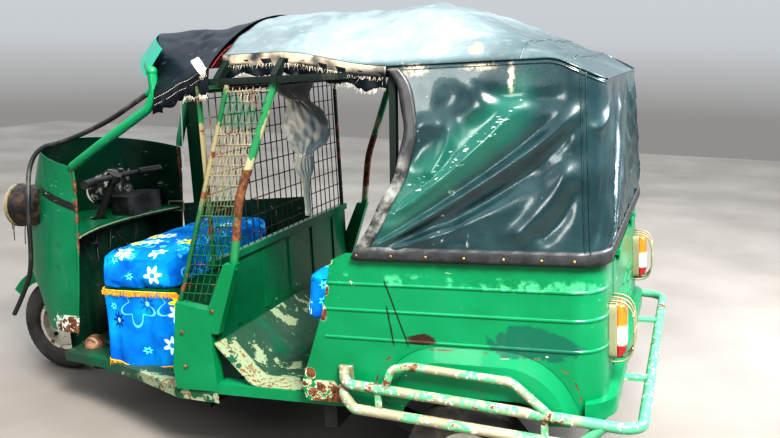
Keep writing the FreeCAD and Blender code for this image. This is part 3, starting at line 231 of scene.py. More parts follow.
class Finish:
    """One material and the short words that its formula is written in."""

    def __init__(self, name, rough=0.5, metal=0.0, coat=0.0, specular=0.5):
        self.material = bpy.data.materials.new(name)
        self.material.use_nodes = True
        self.tree = self.material.node_tree
        self.shader = self.tree.nodes["Principled BSDF"]
        self.shader.inputs["Roughness"].default_value = rough
        self.shader.inputs["Metallic"].default_value = metal
        self.shader.inputs["Coat Weight"].default_value = coat
        self.shader.inputs["Specular IOR Level"].default_value = specular
        self.place = self._body_place()

    def add(self, kind, settings, inputs, output=0):
        """Any node: settings are set first, then each socket gets a value or a link."""
        node = self.tree.nodes.new(kind)
        for key, value in settings.items():
            if key == "stops":
                ramp = node.color_ramp
                while len(ramp.elements) < len(value):
                    ramp.elements.new(0.5)
                for element, (position, colour) in zip(ramp.elements, value):
                    element.position, element.color = position, (*colour, 1.0)
            else:
                setattr(node, key, value)
        for key, value in inputs.items():
            socket = node.inputs[key]
            if isinstance(value, Signal):
                self.tree.links.new(value.socket, socket)
            elif isinstance(value, tuple) and socket.type == "RGBA" and len(value) == 3:
                socket.default_value = (*value, 1.0)
            else:
                socket.default_value = value
        return Signal(self, node.outputs[output])

    def _body_place(self):
        """Object coordinates turned level, in metres, so that patterns follow the body's lines."""
        here = self.add("ShaderNodeTexCoord", {}, {}, "Object")
        back = Matrix.Rotation(-TILT, 3, "Y") @ Vector((AXLE_X, 0.0, AXLE_Z / 1000))
        return self.add("ShaderNodeMapping", {}, {"Vector": here, "Rotation": (0.0, -TILT, 0.0),
                                                  "Location": (-back.x, 0.0, AXLE_Z / 1000 - back.z)})

    def axes(self, vector=None):
        """The x, y and z parts of a place."""
        return [self.add("ShaderNodeSeparateXYZ", {}, {0: vector or self.place}, i) for i in range(3)]

    def turned_to(self, x, y, z):
        """Positive where the surface faces away from the point (x, y, z), negative where it faces it."""
        normal = self.axes(self.add("ShaderNodeTexCoord", {}, {}, "Normal"))
        here = self.axes()
        return normal[0] * (here[0] - x) + normal[1] * (here[1] - y) + normal[2] * (here[2] - z)

    def stretched(self, scale, vector=None):
        """A place with each axis scaled, for streaks, weave and brushed lines."""
        return self.add("ShaderNodeMapping", {}, {"Vector": vector or self.place, "Scale": scale})

    def noise(self, scale, detail=3.0, rough=0.5, vector=None, twist=0.0):
        """Cloudy noise from 0 to 1 with so many waves to a metre."""
        return self.add("ShaderNodeTexNoise", {}, {"Vector": vector or self.place, "Scale": scale,
                        "Detail": detail, "Roughness": rough, "Distortion": twist})

    def cells(self, scale):
        """Distance to the nearest of scattered points."""
        return self.add("ShaderNodeTexVoronoi", {}, {"Vector": self.place, "Scale": scale}, "Distance")

    def ramp(self, value, *stops):
        """Colour from a value by stops of (position, colour)."""
        return self.add("ShaderNodeValToRGB", {"stops": stops}, {"Fac": value})

    def mix(self, share, first, second):
        """Colour: first where share is 0, second where it is 1."""
        return self.add("ShaderNodeMix", {"data_type": "RGBA"}, {0: share, 6: first, 7: second}, 2)

    def spot(self, x, z, rx, rz, soft=0.5, wobble=None):
        """A soft-edged patch on the side, centred at body millimetres (x, z)."""
        px, _, pz = self.axes()
        reach = (((px - x / 1000) / (rx / 1000)) ** 2.0 + ((pz - z / 1000) / (rz / 1000)) ** 2.0) ** 0.5
        if wobble is not None:
            reach = reach + wobble
        return 1.0 - reach.rise(1.0 - soft, 1.0 + soft * 0.2)

    def spots(self, wobble, *patches):
        """The union of several patches with the same wobble."""
        union = self.spot(*patches[0], wobble=wobble)
        for patch in patches[1:]:
            union = union.most(self.spot(*patch, wobble=wobble))
        return union

    def bump(self, height, depth, strength=1.0):
        """Relief of the given depth in metres."""
        inputs = {"Height": height, "Distance": depth, "Strength": strength}
        self.feed("Normal", self.add("ShaderNodeBump", {}, inputs))

    def feed(self, socket, value):
        """Link a signal to the shader's socket, or set its value."""
        if isinstance(value, Signal):
            self.tree.links.new(value.socket, self.shader.inputs[socket])
        else:
            self.shader.inputs[socket].default_value = (*value, 1.0) if isinstance(value, tuple) else value


def dress(finish, *names):
    """Give solid-model nodes or new pieces their finish."""
    for name in names:
        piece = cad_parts.get(name) or bpy.data.objects[name]
        piece.data.materials.clear()
        piece.data.materials.append(finish.material)


def mottled(name, rough, scale, detail, stops, metal=0.0, relief=None):
    """A finish whose colour follows one noise through the stops, with another noise as relief."""
    made = Finish(name, rough=rough, metal=metal)
    made.feed("Base Color", made.ramp(made.noise(scale, detail), *stops))
    if relief:
        relief_scale, relief_detail, depth, strength = relief
        made.bump(made.noise(relief_scale, relief_detail), depth, strength)
    return made


dress(mottled("pale_floor", 0.85, 1.3, 3, ((0.3, (0.150, 0.135, 0.120)), (0.7, (0.205, 0.187, 0.168)))), "floor")

# %% [markdown]
# ## Two cords
# Two long thin things hang loose. The rubber gasket of the missing screen has come out of
# its channel: it leaves the pillar's top, runs straight to the screen sill, bends over it
# and hangs down outside the empty lamp. A twisted string hangs from the header. Both are
# NURBS splines with the solid model's own route as their control points, so they bend as
# one smooth line.

# %% Cord routes
GASKET_ROUTE = [(1172, 390, 1351), (1262, 367, 1313), (1370, 345, 1265), (1475, 327, 1229), (1597, 304, 1193),
                (1698, 286, 1171), (1752, 282, 1164), (1792, 294, 1136), (1811, 312, 1084), (1806, 334, 1024),
                (1799, 351, 957), (1806, 356, 885), (1815, 352, 805), (1827, 348, 725), (1850, 342, 658),
                (1887, 337, 600), (1922, 338, 545), (1957, 342, 492)]


def spline(name, points, radius):
    """A round NURBS cord of order 3 through its row-frame control points, ends clamped."""
    data = bpy.data.curves.new(name, "CURVE")
    data.dimensions, data.bevel_depth, data.bevel_resolution = "3D", radius, 3
    data.use_fill_caps, data.resolution_u = True, 12
    run = data.splines.new("NURBS")
    run.points.add(len(points) - 1)
    run.points.foreach_set("co", np.column_stack([points, np.ones(len(points))]).ravel())
    run.order_u, run.use_endpoint_u = 3, True
    made = bpy.data.objects.new(name, data)
    bpy.context.scene.collection.objects.link(made)
    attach(made, "body")
    return made


gasket_points = to_row(GASKET_ROUTE)
gasket = spline("screen_gasket", gasket_points, 0.009)
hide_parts("loose_gasket")
print("gasket control points:", len(gasket_points))

# %% Finish: weathered rubber
rubber = Finish("gasket_rubber", rough=0.55)
dust = rubber.noise(9.0, 5, 0.6)
rubber.feed("Base Color", rubber.mix(dust.rise(0.5, 0.8) * 0.5, (0.012, 0.013, 0.014), (0.16, 0.15, 0.13)))
rubber.feed("Roughness", 0.38 + dust.rise(0.4, 0.8) * 0.35)
rubber.bump(rubber.noise(160.0, 2), 0.0006, 0.4)
dress(rubber, "screen_gasket")

# %% The pull string
string_low, string_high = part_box("pull_string")
string_x, string_y, _ = middle_of("pull_string")
string_path = np.column_stack([np.full(4, string_x), np.full(4, string_y),
                               np.linspace(string_high[2], string_low[2], 4)])
string = spline("pull_string_line", string_path, 0.0025)
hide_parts("pull_string")

# %% Finish: twisted string
twine = Finish("string", rough=0.9)
px, _, pz = twine.axes()
lay = (pz * 900.0 + px * 500.0).sine()
twine.feed("Base Color", twine.mix(lay * 0.5 + 0.5, (0.62, 0.60, 0.54), (0.88, 0.87, 0.82)))
twine.bump(lay, 0.0006)
dress(twine, "pull_string_line", "string_knot")

# %% [markdown]
# ## The hood's form
# The hood is one skin of vinyl over three bows. Its skirt runs in one strip from the left
# doorway round the rear corners to the right doorway, and its roof is a second grid whose
# edge rows are the skirt's own top row, so that the two meet in a seam without a gap.
# The roof is the lower of two surfaces, a crowned arc across and a slope down to the
# rear, with their meeting line rounded by a smooth minimum.

# %% Curves that the hood follows
HEM_Z, SEAM_Z, CORNER = 848.0, 1402.0, 90.0
DOOR_EDGE = np.array([(849, 326), (988, 244), (1060, 203), (1121, 176), (1180, 162), (1236, 156), (1307, 163),
                      (1345, 175), (1375, 190), (1402, 214)], float)


def smooth_least(a, b, k):
    """The smaller of two values, rounded where they cross by a parabola of width k."""
    h = np.clip(0.5 + 0.5 * (b - a) / k, 0.0, 1.0)
    return b * (1 - h) + a * h - k * h * (1 - h)


def smooth_step(t):
    """0 to 1 with level ends: 3t^2 - 2t^3."""
    t = np.clip(t, 0.0, 1.0)
    return t * t * (3 - 2 * t)


def pick(table, at, key=None):
    """Rows of a table at places of its key, or of its row numbers, in straight parts between."""
    key = np.arange(len(table)) if key is None else key
    return np.stack([np.interp(at, key, column) for column in table.T], -1)


def smoothed(table, half):
    """Each column averaged over 2 half + 1 rows; beyond its ends it goes on point-reflected."""
    width = 2 * half + 1
    padded = [np.pad(column, half, "reflect", reflect_type="odd") for column in table.T]
    return np.stack([np.convolve(column, np.full(width, 1 / width), "valid") for column in padded], -1)


CROWN_Z, CROWN_R = 666.1, 933.9
REAR_X, REAR_Z, REAR_SLOPE = -397.0, 1338.0, 0.516


def rear_slope(x):
    """Height of the plane that falls to the roof's rear edge."""
    return REAR_Z + REAR_SLOPE * (x - REAR_X)


def roof_height(x, y):
    """Crown across, an arc about (0, CROWN_Z), cut by the slope to the rear edge."""
    crown = CROWN_Z + np.sqrt(CROWN_R ** 2 - np.clip(np.abs(y), 0.0, 900.0) ** 2)
    return smooth_least(crown, rear_slope(x), 60.0)


def wall_y(z):
    """Half width of the skirt: 640 at z = 850, and 65 less at z = 1402."""
    return 640.0 - 65.0 * (z - 850.0) / 552.0


def wall_x(z):
    """Where the rear skirt stands: -411 at z = 850, and 14 further forward at z = 1338."""
    return -411.0 + 14.0 * (z - 850.0) / 488.0


def door_x(z):
    """Doorway edge: the height's place on a smoothed polyline."""
    heights = np.linspace(849, 1402, 60)
    return np.interp(z, heights, smoothed(pick(DOOR_EDGE[:, 1:], heights, DOOR_EDGE[:, 0]), 3)[:, 0])


# %% [markdown]
# ### Folds as ridges
# Cloth between two pulls gathers in ridges that start narrow at the pull and widen away
# from it. Each row of the table is one such ridge on the unrolled skirt, where q is the
# way along the skirt from the doorway's foot: a Gaussian across, a smooth step at each end.

# %% Folds on the unrolled skirt
RIDGES = np.array([  # q and z of the start, q and z of the end, half width at each, height in mm
    (40, 868, 640, 1242, 8, 20, 15), (110, 960, 505, 1285, 9, 26, 10), (50, 880, 560, 1215, 7, 24, -12),
    (90, 878, 640, 1150, 10, 30, -9), (20, 850, 470, 1010, 8, 34, 6), (250, 925, 655, 1215, 12, 18, -7),
    (470, 900, 640, 1120, 24, 34, 8), (540, 900, 660, 1060, 22, 26, -7), (150, 1215, 420, 1300, 26, 40, 6),
    (160, 1110, 330, 1340, 26, 50, -6), (380, 1325, 620, 1300, 20, 26, -5), (230, 1075, 300, 1240, 14, 22, 5),
    (760, 868, 880, 1290, 8, 20, 9), (765, 868, 985, 1300, 8, 26, -9), (770, 866, 1110, 1290, 9, 26, 11),
    (780, 866, 1210, 1240, 8, 30, -8), (790, 864, 1290, 1150, 9, 34, 8), (700, 880, 760, 1200, 12, 24, -7),
    (820, 862, 1300, 1020, 8, 30, -5), (700, 1200, 820, 1290, 16, 20, 6)])
RIPPLES = np.random.default_rng(7).uniform(-1, 1, (14, 4))


def ridge_field(q, z, table):
    """Sum of the ridges at (q, z): height times exp(-(across / width)^2), between its two ends."""
    total = np.zeros(np.shape(q))
    for q0, z0, q1, z1, w0, w1, height in table:
        span = math.hypot(q1 - q0, z1 - z0)
        aq, az = (q1 - q0) / span, (z1 - z0) / span
        along = ((q - q0) * aq + (z - z0) * az) / span
        across = (z - z0) * aq - (q - q0) * az + 14.0 * np.sin(3.0 * along)
        width = w0 + (w1 - w0) * np.clip(along, 0, 1)
        ends = smooth_step(along * 6) * smooth_step((1.12 - along) * 4)
        total += height * np.exp(-(across / width) ** 2) * ends
    return total


def ripples(a, b, size):
    """Fine unevenness: a sum of 14 plane waves, none shorter than 80 mm."""
    total = np.zeros(np.shape(a))
    for kx, ky, phase, weight in RIPPLES:
        total += weight * np.sin(a * kx * 0.055 + b * ky * 0.055 + 9.0 * phase)
    return size * total / 3.0


# %% Skirt and roof grids
N_SIDE, N_CORNER, N_REAR, N_UP = 84, 18, 96, 84
HALF = N_SIDE + N_CORNER
FOLD_GAIN, FAR_SHARE, UNEVEN = 1.35, 0.8, 2.0  # folds as drawn, their share on the right side, ripples in mm


def skirt_grid(z):
    """Plan positions round the skirt at the heights z, one row of z for each step up."""
    t = np.linspace(0, 1, N_SIDE)[None, :]
    turn = np.linspace(0, math.pi / 2, N_CORNER + 2)[None, 1:-1]
    across = np.linspace(1, -1, N_REAR)[None, :]
    zs, zc, zr = z[:, :N_SIDE], z[:, N_SIDE:HALF], z[:, HALF:HALF + N_REAR]
    start = door_x(zs)
    side = np.stack([start + (wall_x(zs) + CORNER - start) * t, wall_y(zs), zs], -1)
    corner = np.stack([wall_x(zc) + CORNER - CORNER * np.sin(turn),
                       wall_y(zc) - CORNER + CORNER * np.cos(turn), zc], -1)
    rear = np.stack([wall_x(zr), (wall_y(zr) - CORNER) * across, zr], -1)
    half = np.concatenate([side, corner], 1)
    return np.concatenate([half, rear, half[:, ::-1] * (1, -1, 1)], 1)


n_round = 2 * HALF + N_REAR
seam_z = np.full((1, n_round), SEAM_Z)
for _ in range(6):
    seam = skirt_grid(seam_z)
    slope = rear_slope(seam[..., 0])
    seam_z = smooth_least(np.full(slope.shape, SEAM_Z), slope, 16.0)
up = np.linspace(0, 1, N_UP)[:, None]
skirt = skirt_grid(HEM_Z + (seam_z - HEM_Z) * up)

steps = np.linalg.norm(np.diff(skirt[0, :, :2], axis=0), axis=1)
q = np.concatenate([[0], np.cumsum(steps)])
q = np.minimum(q, q[-1] - q)
q_grid = np.broadcast_to(q, skirt.shape[:2]) + (326.0 - door_x(skirt[..., 2])) * (1 - np.clip(q / 600, 0, 1))
outward = np.cross(np.gradient(skirt, axis=1), np.gradient(skirt, axis=0))
outward /= np.linalg.norm(outward, axis=2, keepdims=True)
outward *= np.sign((outward * (skirt - (100.0, 0.0, 1100.0))).sum(2, keepdims=True))
from_door = q_grid - np.min(q_grid, axis=1, keepdims=True)
hold = smooth_step(up * 9) * smooth_step((1 - up) * 8) * smooth_step(from_door / 55)
skirt_relief = FOLD_GAIN * ridge_field(q_grid, skirt[..., 2], RIDGES) + ripples(q_grid, skirt[..., 2], UNEVEN)
right = np.arange(n_round) > n_round / 2
right_relief = FAR_SHARE * skirt_relief + ripples(skirt[..., 2], q_grid, UNEVEN)
skirt_relief = np.where(right[None, :], right_relief, skirt_relief)
skirt = skirt + outward * (hold * skirt_relief)[..., None]

AHEAD = 95  # rows of the roof ahead of the skirt's doorway edge
roof_x = np.concatenate([np.linspace(800, 214, AHEAD + 1)[:-1], skirt[-1, :HALF + 1, 0]])
edge_z = 1402.0 + 60.0 * smooth_step((roof_x - 190.0) / 430.0)
edge_y = np.sqrt(CROWN_R ** 2 - (edge_z - CROWN_Z) ** 2)
shared = slice(AHEAD, AHEAD + HALF + 1)
edge_z[shared], edge_y[shared] = skirt[-1, :HALF + 1, 2], skirt[-1, :HALF + 1, 1]
across = np.linspace(1, -1, N_REAR)[None, :]
roof_y = edge_y[:, None] * across
roof_xs = np.broadcast_to(roof_x[:, None], roof_y.shape)
roof_z = roof_height(roof_xs, roof_y)
roof_z = roof_z + (edge_z - roof_z[:, 0])[:, None] * np.abs(across) ** 6
inside = smooth_step((1 - np.abs(across)) * 7) * smooth_step((roof_x[:, None] - REAR_X) / 60.0)
between = np.sin(np.pi * np.clip((roof_x - 200.0) / 385.0, 0, 1)) ** 2
ROOF_RIDGES = np.array([  # the same seven values, with x and y in the place of q and z
    (620, 380, 250, 470, 16, 30, 6), (700, 300, 330, 420, 18, 30, -6), (300, 300, -60, 520, 20, 30, 6),
    (120, 150, -250, 430, 24, 34, -7), (-60, 300, -330, 480, 14, 26, 7), (-120, 60, -380, 330, 18, 30, 6),
    (560, -200, 120, 60, 30, 40, 7), (700, 60, 420, 330, 20, 30, 5), (640, -420, 200, -300, 26, 40, 6)])
roof_relief = ridge_field(roof_xs, roof_y, ROOF_RIDGES) + ripples(roof_xs, roof_y, 3.0) - 9.0 * between[:, None]
roof_relief += -7.0 * np.exp(-((roof_xs - 60.0) / 90.0) ** 2) * np.cos(roof_y / 130.0)
roof = np.stack([roof_xs, roof_y, roof_z + inside * roof_relief], -1)
print("skirt", skirt.shape, "roof", roof.shape)


# %% [markdown]
# ### Grids into meshes
# A grid of points becomes a mesh by pairing neighbouring rows: every face is two
# neighbours in one row and the same two in the next. Binding, piping and patches are
# strips on the same surface, each pushed out by a millimetre or two.

# %% Surface helpers
def grid_faces(rows, columns, start=0, around=False):
    """Quads between the rows of a grid whose first vertex has the index start."""
    index = start + np.arange(rows * columns).reshape(rows, columns)
    ahead = np.roll(index, -1, 1) if around else index[:, 1:]
    here = index if around else index[:, :-1]
    return np.stack([here[:-1], ahead[:-1], ahead[1:], here[1:]], -1).reshape(-1, 4)


def drum_faces(start, sides, rings):
    """A closed drum: quads between rings of so many sides each, and its two ends."""
    last = start + (rings - 1) * sides
    ends = [list(range(start, start + sides))[::-1], list(range(last, last + sides))]
    return grid_faces(rings, sides, start, True).tolist() + ends


def cloth(name, grids, thickness):
    """One skin from body-frame grids, merged where they share points, with a real thickness."""
    vertices = np.concatenate([np.asarray(g).reshape(-1, 3) for g in grids])
    faces, start = [], 0
    for g in grids:
        faces.append(grid_faces(g.shape[0], g.shape[1], start))
        start += g.shape[0] * g.shape[1]
    made = new_mesh(name, to_row(vertices), np.concatenate(faces))
    settle(made.data, 0.0004)
    solid = made.modifiers.new("thickness", "SOLIDIFY")
    solid.thickness, solid.offset = thickness, 0.0
    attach(made, "body")
    return made


def sweep(path, radius, sides=8, ref=(0.0, 0.31, 0.95)):
    """Rings of a round section carried along a path, as one closed-section grid."""
    path = np.asarray(path, float)
    tangent = np.gradient(path, axis=0)
    tangent /= np.linalg.norm(tangent, axis=1, keepdims=True)
    first = np.cross(np.asarray(ref), tangent)
    first /= np.linalg.norm(first, axis=1, keepdims=True)
    second = np.cross(tangent, first)
    turn = np.linspace(0, 2 * math.pi, sides, endpoint=False)
    ring = first[:, None] * np.cos(turn)[None, :, None] + second[:, None] * np.sin(turn)[None, :, None]
    return path[:, None] + np.broadcast_to(radius, len(path))[:, None, None] * ring


def tubes(name, paths, radius, sides=8, ref=(0.0, 0.31, 0.95)):
    """Round cords or wires along body-frame paths, all in one object."""
    vertices, faces, start = [], [], 0
    for path in paths:
        grid = sweep(path, radius, sides, ref)
        vertices.append(grid.reshape(-1, 3))
        faces += drum_faces(start, sides, len(grid))
        start += len(grid) * sides
    made = new_mesh(name, to_row(np.concatenate(vertices)), faces)
    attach(made, "body")
    return made


hood_skin = cloth("hood_skin", [skirt, roof], 0.0014)
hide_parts("hood")
print("hood skin faces:", len(hood_skin.data.polygons))

# %% [markdown]
# ### Seams, binding and screws
# Piping runs along both roof edges, down both rear corners, across the rear and twice over
# the roof. A darker binding covers the hem and the doorway edges, with small brass screws
# along the hem.

# %% Piping, binding, screws
corner_at = N_SIDE + 3
left_seam = np.concatenate([roof[:AHEAD, 0], skirt[-1, :HALF]])
rear_seam = skirt[-1, HALF - 1:HALF + N_REAR + 1]
pipes = []
for mirror in (1.0, -1.0):
    flip = np.array((1.0, mirror, 1.0))
    pipes.append((left_seam + (0, 2.5, 3.0)) * flip)
    pipes.append((left_seam[96:] + (0, 3.0, -9.0)) * flip)
    for at in (corner_at, corner_at + 2):
        column = at if mirror > 0 else n_round - 1 - at
        pipes.append(skirt[:, column] + outward[:, column] * 2.0)
pipes.append(rear_seam + (-2.5, 0.0, 1.5))
for x_cross in (-171.0, -279.0):
    row = int(np.argmin(np.abs(roof_x - x_cross)))
    pipes.append(roof[row] + (0.0, 0.0, 1.2))
piping = tubes("hood_piping", pipes, 2.6, 6)


def strip(inner, outer, lift_in, lift_out, rows=5):
    """A band between two rows of points, its middle lifted like a padded binding."""
    share = np.linspace(0, 1, rows)[:, None, None]
    swell = np.sin(np.pi * share) * (lift_in + lift_out) * 0.35
    return (inner + lift_in)[None] * (1 - share) + (outer + lift_out)[None] * share + swell


band_rows = skirt_grid(np.broadcast_to(np.array([[842.0], [883.0]]), (2, n_round)))
face = outward[0] * (1, 1, 0)
wave = 1.5 + 1.2 * np.sin(q * 0.05) ** 2
hem_band = strip(band_rows[0], band_rows[1], face * wave[:, None] * 1.6, face * wave[:, None] * 1.2)
door_z = np.linspace(846, 1396, 90)
roof_edge = roof[:AHEAD + 1, 0]
away = np.broadcast_to((0.0, 8.0, -34.0), roof_edge.shape)
droop = 10.0 * np.sin(np.linspace(0, 5 * np.pi, len(roof_edge)))[:, None] * np.array((0.0, 0.2, 0.5))
bands = [hem_band]
for mirror in (1.0, -1.0):
    flip = np.array((1.0, mirror, 1.0))
    wave2 = 3.0 * np.sin(door_z * 0.045)
    inner = np.stack([door_x(door_z) + 6 + wave2, wall_y(door_z) + 2.0, door_z], -1)
    outer = np.stack([door_x(door_z) - 34 + 0.5 * wave2, wall_y(door_z) + 2.0, door_z], -1)
    bands.append(strip(inner, outer, np.array((0, 2.0, 0)), np.array((0, 1.5, 0))) * flip)
    bands.append(strip(roof_edge + (0, 2, 2), roof_edge + away + droop, np.array((0, 1.0, 1.0)),
                       np.array((0, 1.5, 0))) * flip)
binding = cloth("hood_binding", bands, 0.0022)
print("binding faces:", len(binding.data.polygons))

screw_at = [(x, s * 646.5, 858.0) for x in (314, 205, 99, -15, -129, -235, -324) for s in (1, -1)]
dome = np.linspace(0, math.pi / 2, 5)
rim_turn = np.linspace(0, 2 * math.pi, 10, endpoint=False)
cap = np.stack([np.outer(np.cos(dome), np.cos(rim_turn)), np.outer(np.sin(dome) * 0.5, np.ones(10)),
                np.outer(np.cos(dome), np.sin(rim_turn))], -1) * 4.0
cap_points, cap_faces = [], []
for k, (x, y, z) in enumerate(screw_at):
    cap_points.append(cap.reshape(-1, 3) * (1, math.copysign(1, y), 1) + (x, y, z))
    cap_faces.append(grid_faces(5, 10, 50 * k, True))
screws = new_mesh("hem_screws", to_row(np.concatenate(cap_points)), np.concatenate(cap_faces))
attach(screws, "body")

# %% [markdown]
# ### Vinyl
# Old vinyl is glossy where it is pulled tight and dull where dust lies. A lighter green band along the tightest fold
# is a painted highlight, the front of the roof is painted pale as a painted sky reflection, and pale stains and
# scuffs sit where the seams shed water.

# %% Finish: hood vinyl
vinyl = Finish("hood_vinyl", rough=0.3, coat=0.25, specular=0.6)
vx, _, vz = vinyl.axes()
grime = vinyl.noise(3.0, 6, 0.62, twist=0.6)
fine = vinyl.noise(26.0, 4, 0.6)
streak = vinyl.noise(7.0, 4, 0.6, vinyl.stretched((1.0, 1.0, 0.16)))
base = vinyl.ramp(grime, (0.30, (0.004, 0.014, 0.017)), (0.62, (0.007, 0.030, 0.034)))
pull = (vz - 1.150) + vx * 0.74
# A lighter green band along the tightest fold: a painted highlight.
painted_fold_highlight = pull.band(0.0, 0.035, 0.085) * vx.band(0.02, 0.17, 0.10)
base = vinyl.mix(painted_fold_highlight * 0.7, base, (0.004, 0.090, 0.062))
lift = vz.rise(1.405, 1.43)
# The front of the roof is painted pale, near white: a painted sky reflection.
painted_sky_glare = lift * vx.rise(-0.22, 0.10)
base = vinyl.mix(painted_sky_glare * (0.40 + 0.35 * grime.rise(0.35, 0.60)), base, (0.150, 0.195, 0.205))
dust_mask = grime.rise(0.55, 0.75) * 0.14 + lift * fine.rise(0.45, 0.75) * 0.15
base = vinyl.mix(dust_mask, base, (0.34, 0.34, 0.31))
worn = vinyl.noise(44.0, 5, 0.7)
stains = vinyl.spots(worn * 2.0 - 1.0, (125, 1388, 46, 22, 0.7), (-150, 1356, 13, 52, 0.6), (-60, 1388, 60, 12, 0.8))
beige = stains * worn.rise(0.40, 0.52)
base = vinyl.mix(beige * 0.80, base, (0.50, 0.42, 0.30))
base = vinyl.mix(vinyl.spot(-40, 1440, 24, 16, 0.5, worn * 2.2 - 1.1) * 0.8, base, (0.46, 0.22, 0.10))
scuff = fine.rise(0.64, 0.70) * vinyl.noise(9.0, 2).rise(0.55, 0.62)
scratch_lane = pull.band(-0.005, 0.018, 0.02) * vx.band(0.02, 0.16, 0.06)
scratch = vinyl.noise(60.0, 3, 0.6, vinyl.stretched((0.5, 1.0, 2.2))).rise(0.62, 0.70) * scratch_lane
base = vinyl.mix((scuff * 0.35).most(scratch), base, (0.70, 0.74, 0.70))
vinyl.feed("Base Color", base)
dull = grime.rise(0.4, 0.8) * 0.20 + beige * 0.4 + streak.rise(0.5, 0.8) * 0.1 + painted_sky_glare * 0.12
vinyl.feed("Roughness", 0.24 + dull)
vinyl.bump(vinyl.noise(220.0, 3, 0.6) * 0.25 + vinyl.noise(9.0, 3, 0.5), 0.0012, 0.5)
dress(vinyl, "hood_skin", "hood_piping")

# %% Finish: binding and brass
edging = Finish("binding", rough=0.45, coat=0.15)
weave = edging.noise(30.0, 5, 0.65)
ex, _, ez = edging.axes()
base = edging.ramp(weave, (0.35, (0.006, 0.007, 0.008)), (0.70, (0.022, 0.024, 0.025)))
bleach = (ez.rise(0.86, 0.90) * (1.0 - ez.rise(1.10, 1.20))) * ex.rise(0.14, 0.18)
base = edging.mix(bleach * edging.noise(18.0, 4, 0.7).rise(0.36, 0.64) * 0.8, base, (0.26, 0.26, 0.24))
under = ez.rise(1.385, 1.41) * edging.noise(12.0, 4).rise(0.35, 0.6)
base = edging.mix(under * 0.8, base, (0.40, 0.33, 0.24))
edging.feed("Base Color", base)
edging.bump(edging.cells(420.0) + weave * 0.8, 0.0010, 0.6)
dress(edging, "hood_binding")

dress(mottled("brass", 0.4, 200.0, 3.0, ((0.4, (0.55, 0.38, 0.14)), (0.7, (0.20, 0.13, 0.06))), metal=0.9),
      "hem_screws")

# %% [markdown]
# ## The front canopy
# Ahead of the hood a second cloth reaches down to the bent header. It is ruled between two
# arcs, sags between them, and its near edge hangs as a creased flap whose stitching has
# started to tear. A maroon lining hangs a finger's width below it.

# %% Canopy cloth
def arc_points(first, middle, last, count):
    """Points of the circle through three places: the centre from their perpendicular bisectors."""
    a, b, c = (np.asarray(p, float) for p in (first, middle, last))
    normal = np.cross(b - a, c - a)
    system = np.stack([b - a, c - a, normal])
    target = np.array([(b @ b - a @ a) / 2, (c @ c - a @ a) / 2, normal @ a])
    centre = np.linalg.solve(system, target)
    u = (a - centre) / np.linalg.norm(a - centre)
    w = np.cross(normal / np.linalg.norm(normal), u)
    radius = np.linalg.norm(a - centre)
    full = math.atan2((c - centre) @ w, (c - centre) @ u) % (2 * math.pi)
    turn = np.linspace(0, full, count)[:, None]
    return centre + radius * (np.cos(turn) * u + np.sin(turn) * w)


COVER_REAR = ((806, 566, 1432), (806, 0, 1602), (806, -566, 1432))
COVER_FRONT = ((1118, 428, 1337), (1345, 30, 1566), (1484, -454, 1424))
n_across, n_along = 150, 90
rear_arc, front_arc = arc_points(*COVER_REAR, n_across), arc_points(*COVER_FRONT, n_across)
share = np.linspace(0, 1, n_along)[:, None, None]
cover = rear_arc[None] * (1 - share) + front_arc[None] * share
across = np.linspace(0, 1, n_across)[None, :]
along = np.linspace(0, 1, n_along)[:, None]
drop = 16 * np.sin(np.pi * along) * np.sin(np.pi * across)
creases = sum(high * np.exp(-((across - at - drift * along) / width) ** 2) for high, at, drift, width in (
    (13, 0.10, 0.30, 0.035), (-14, 0.17, 0.20, 0.04), (11, 0.05, 0.62, 0.05), (-9, 0.50, -0.20, 0.06)))
cover[..., 2] += (creases * np.sin(np.pi * np.clip(along, 0, 1)) - drop + 3.0
                  + ripples(cover[..., 0], cover[..., 1], 3.0) * np.sin(np.pi * along))
edge = cover[:, 0]
run = np.linspace(0, 1, n_along)
hang = np.linspace(0, 1, 9)[:, None]
flap_long = 62 + 22 * smooth_step((0.34 - run) / 0.3) + 5 * np.sin(run * 31)
ragged = 4.0 * np.random.default_rng(3).uniform(-1, 1, n_along) * (run < 0.42)
flap = np.stack([edge[:, 0] + hang * (4 + 8 * np.sin(run * 19)),
                 edge[:, 1] + 10 * np.sin(hang * 2.2) + hang * 6 * np.sin(run * 26),
                 edge[:, 2] - hang * (flap_long + ragged)], -1)
canopy = cloth("canopy_cloth", [cover, np.ascontiguousarray(flap[::-1])], 0.0018)
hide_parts("roof_cover")
below_cover = cover + (0, 0, -24.0) - drop[..., None] * (0, 0, 0.5)
lining = cloth("canopy_lining", [below_cover[4:-4:3, 5:-5:3]], 0.0012)

tear = np.array([(868, 560, 1446), (838, 572, 1462), (812, 566, 1424), (834, 552, 1404)], float)
u, v = np.linspace(0, 1, 16)[None, :, None], np.linspace(0, 1, 12)[:, None, None]
torn = (tear[0] * (1 - u) + tear[1] * u) * (1 - v) + (tear[3] * (1 - u) + tear[2] * u) * v
torn[..., 1] += 12 + 8 * np.sin(4.5 * u[..., 0] + 2 * v[..., 0])
torn_flap = cloth("torn_flap", [torn], 0.002)

stitch_runs = [edge + (0, 9, -8), edge + (0, 12, -30)]
dashes = [line[k:k + 2] for line in stitch_runs for k in range(2, n_along - 3, 3)]
stitches = tubes("canopy_stitches", dashes, 1.1, 4)


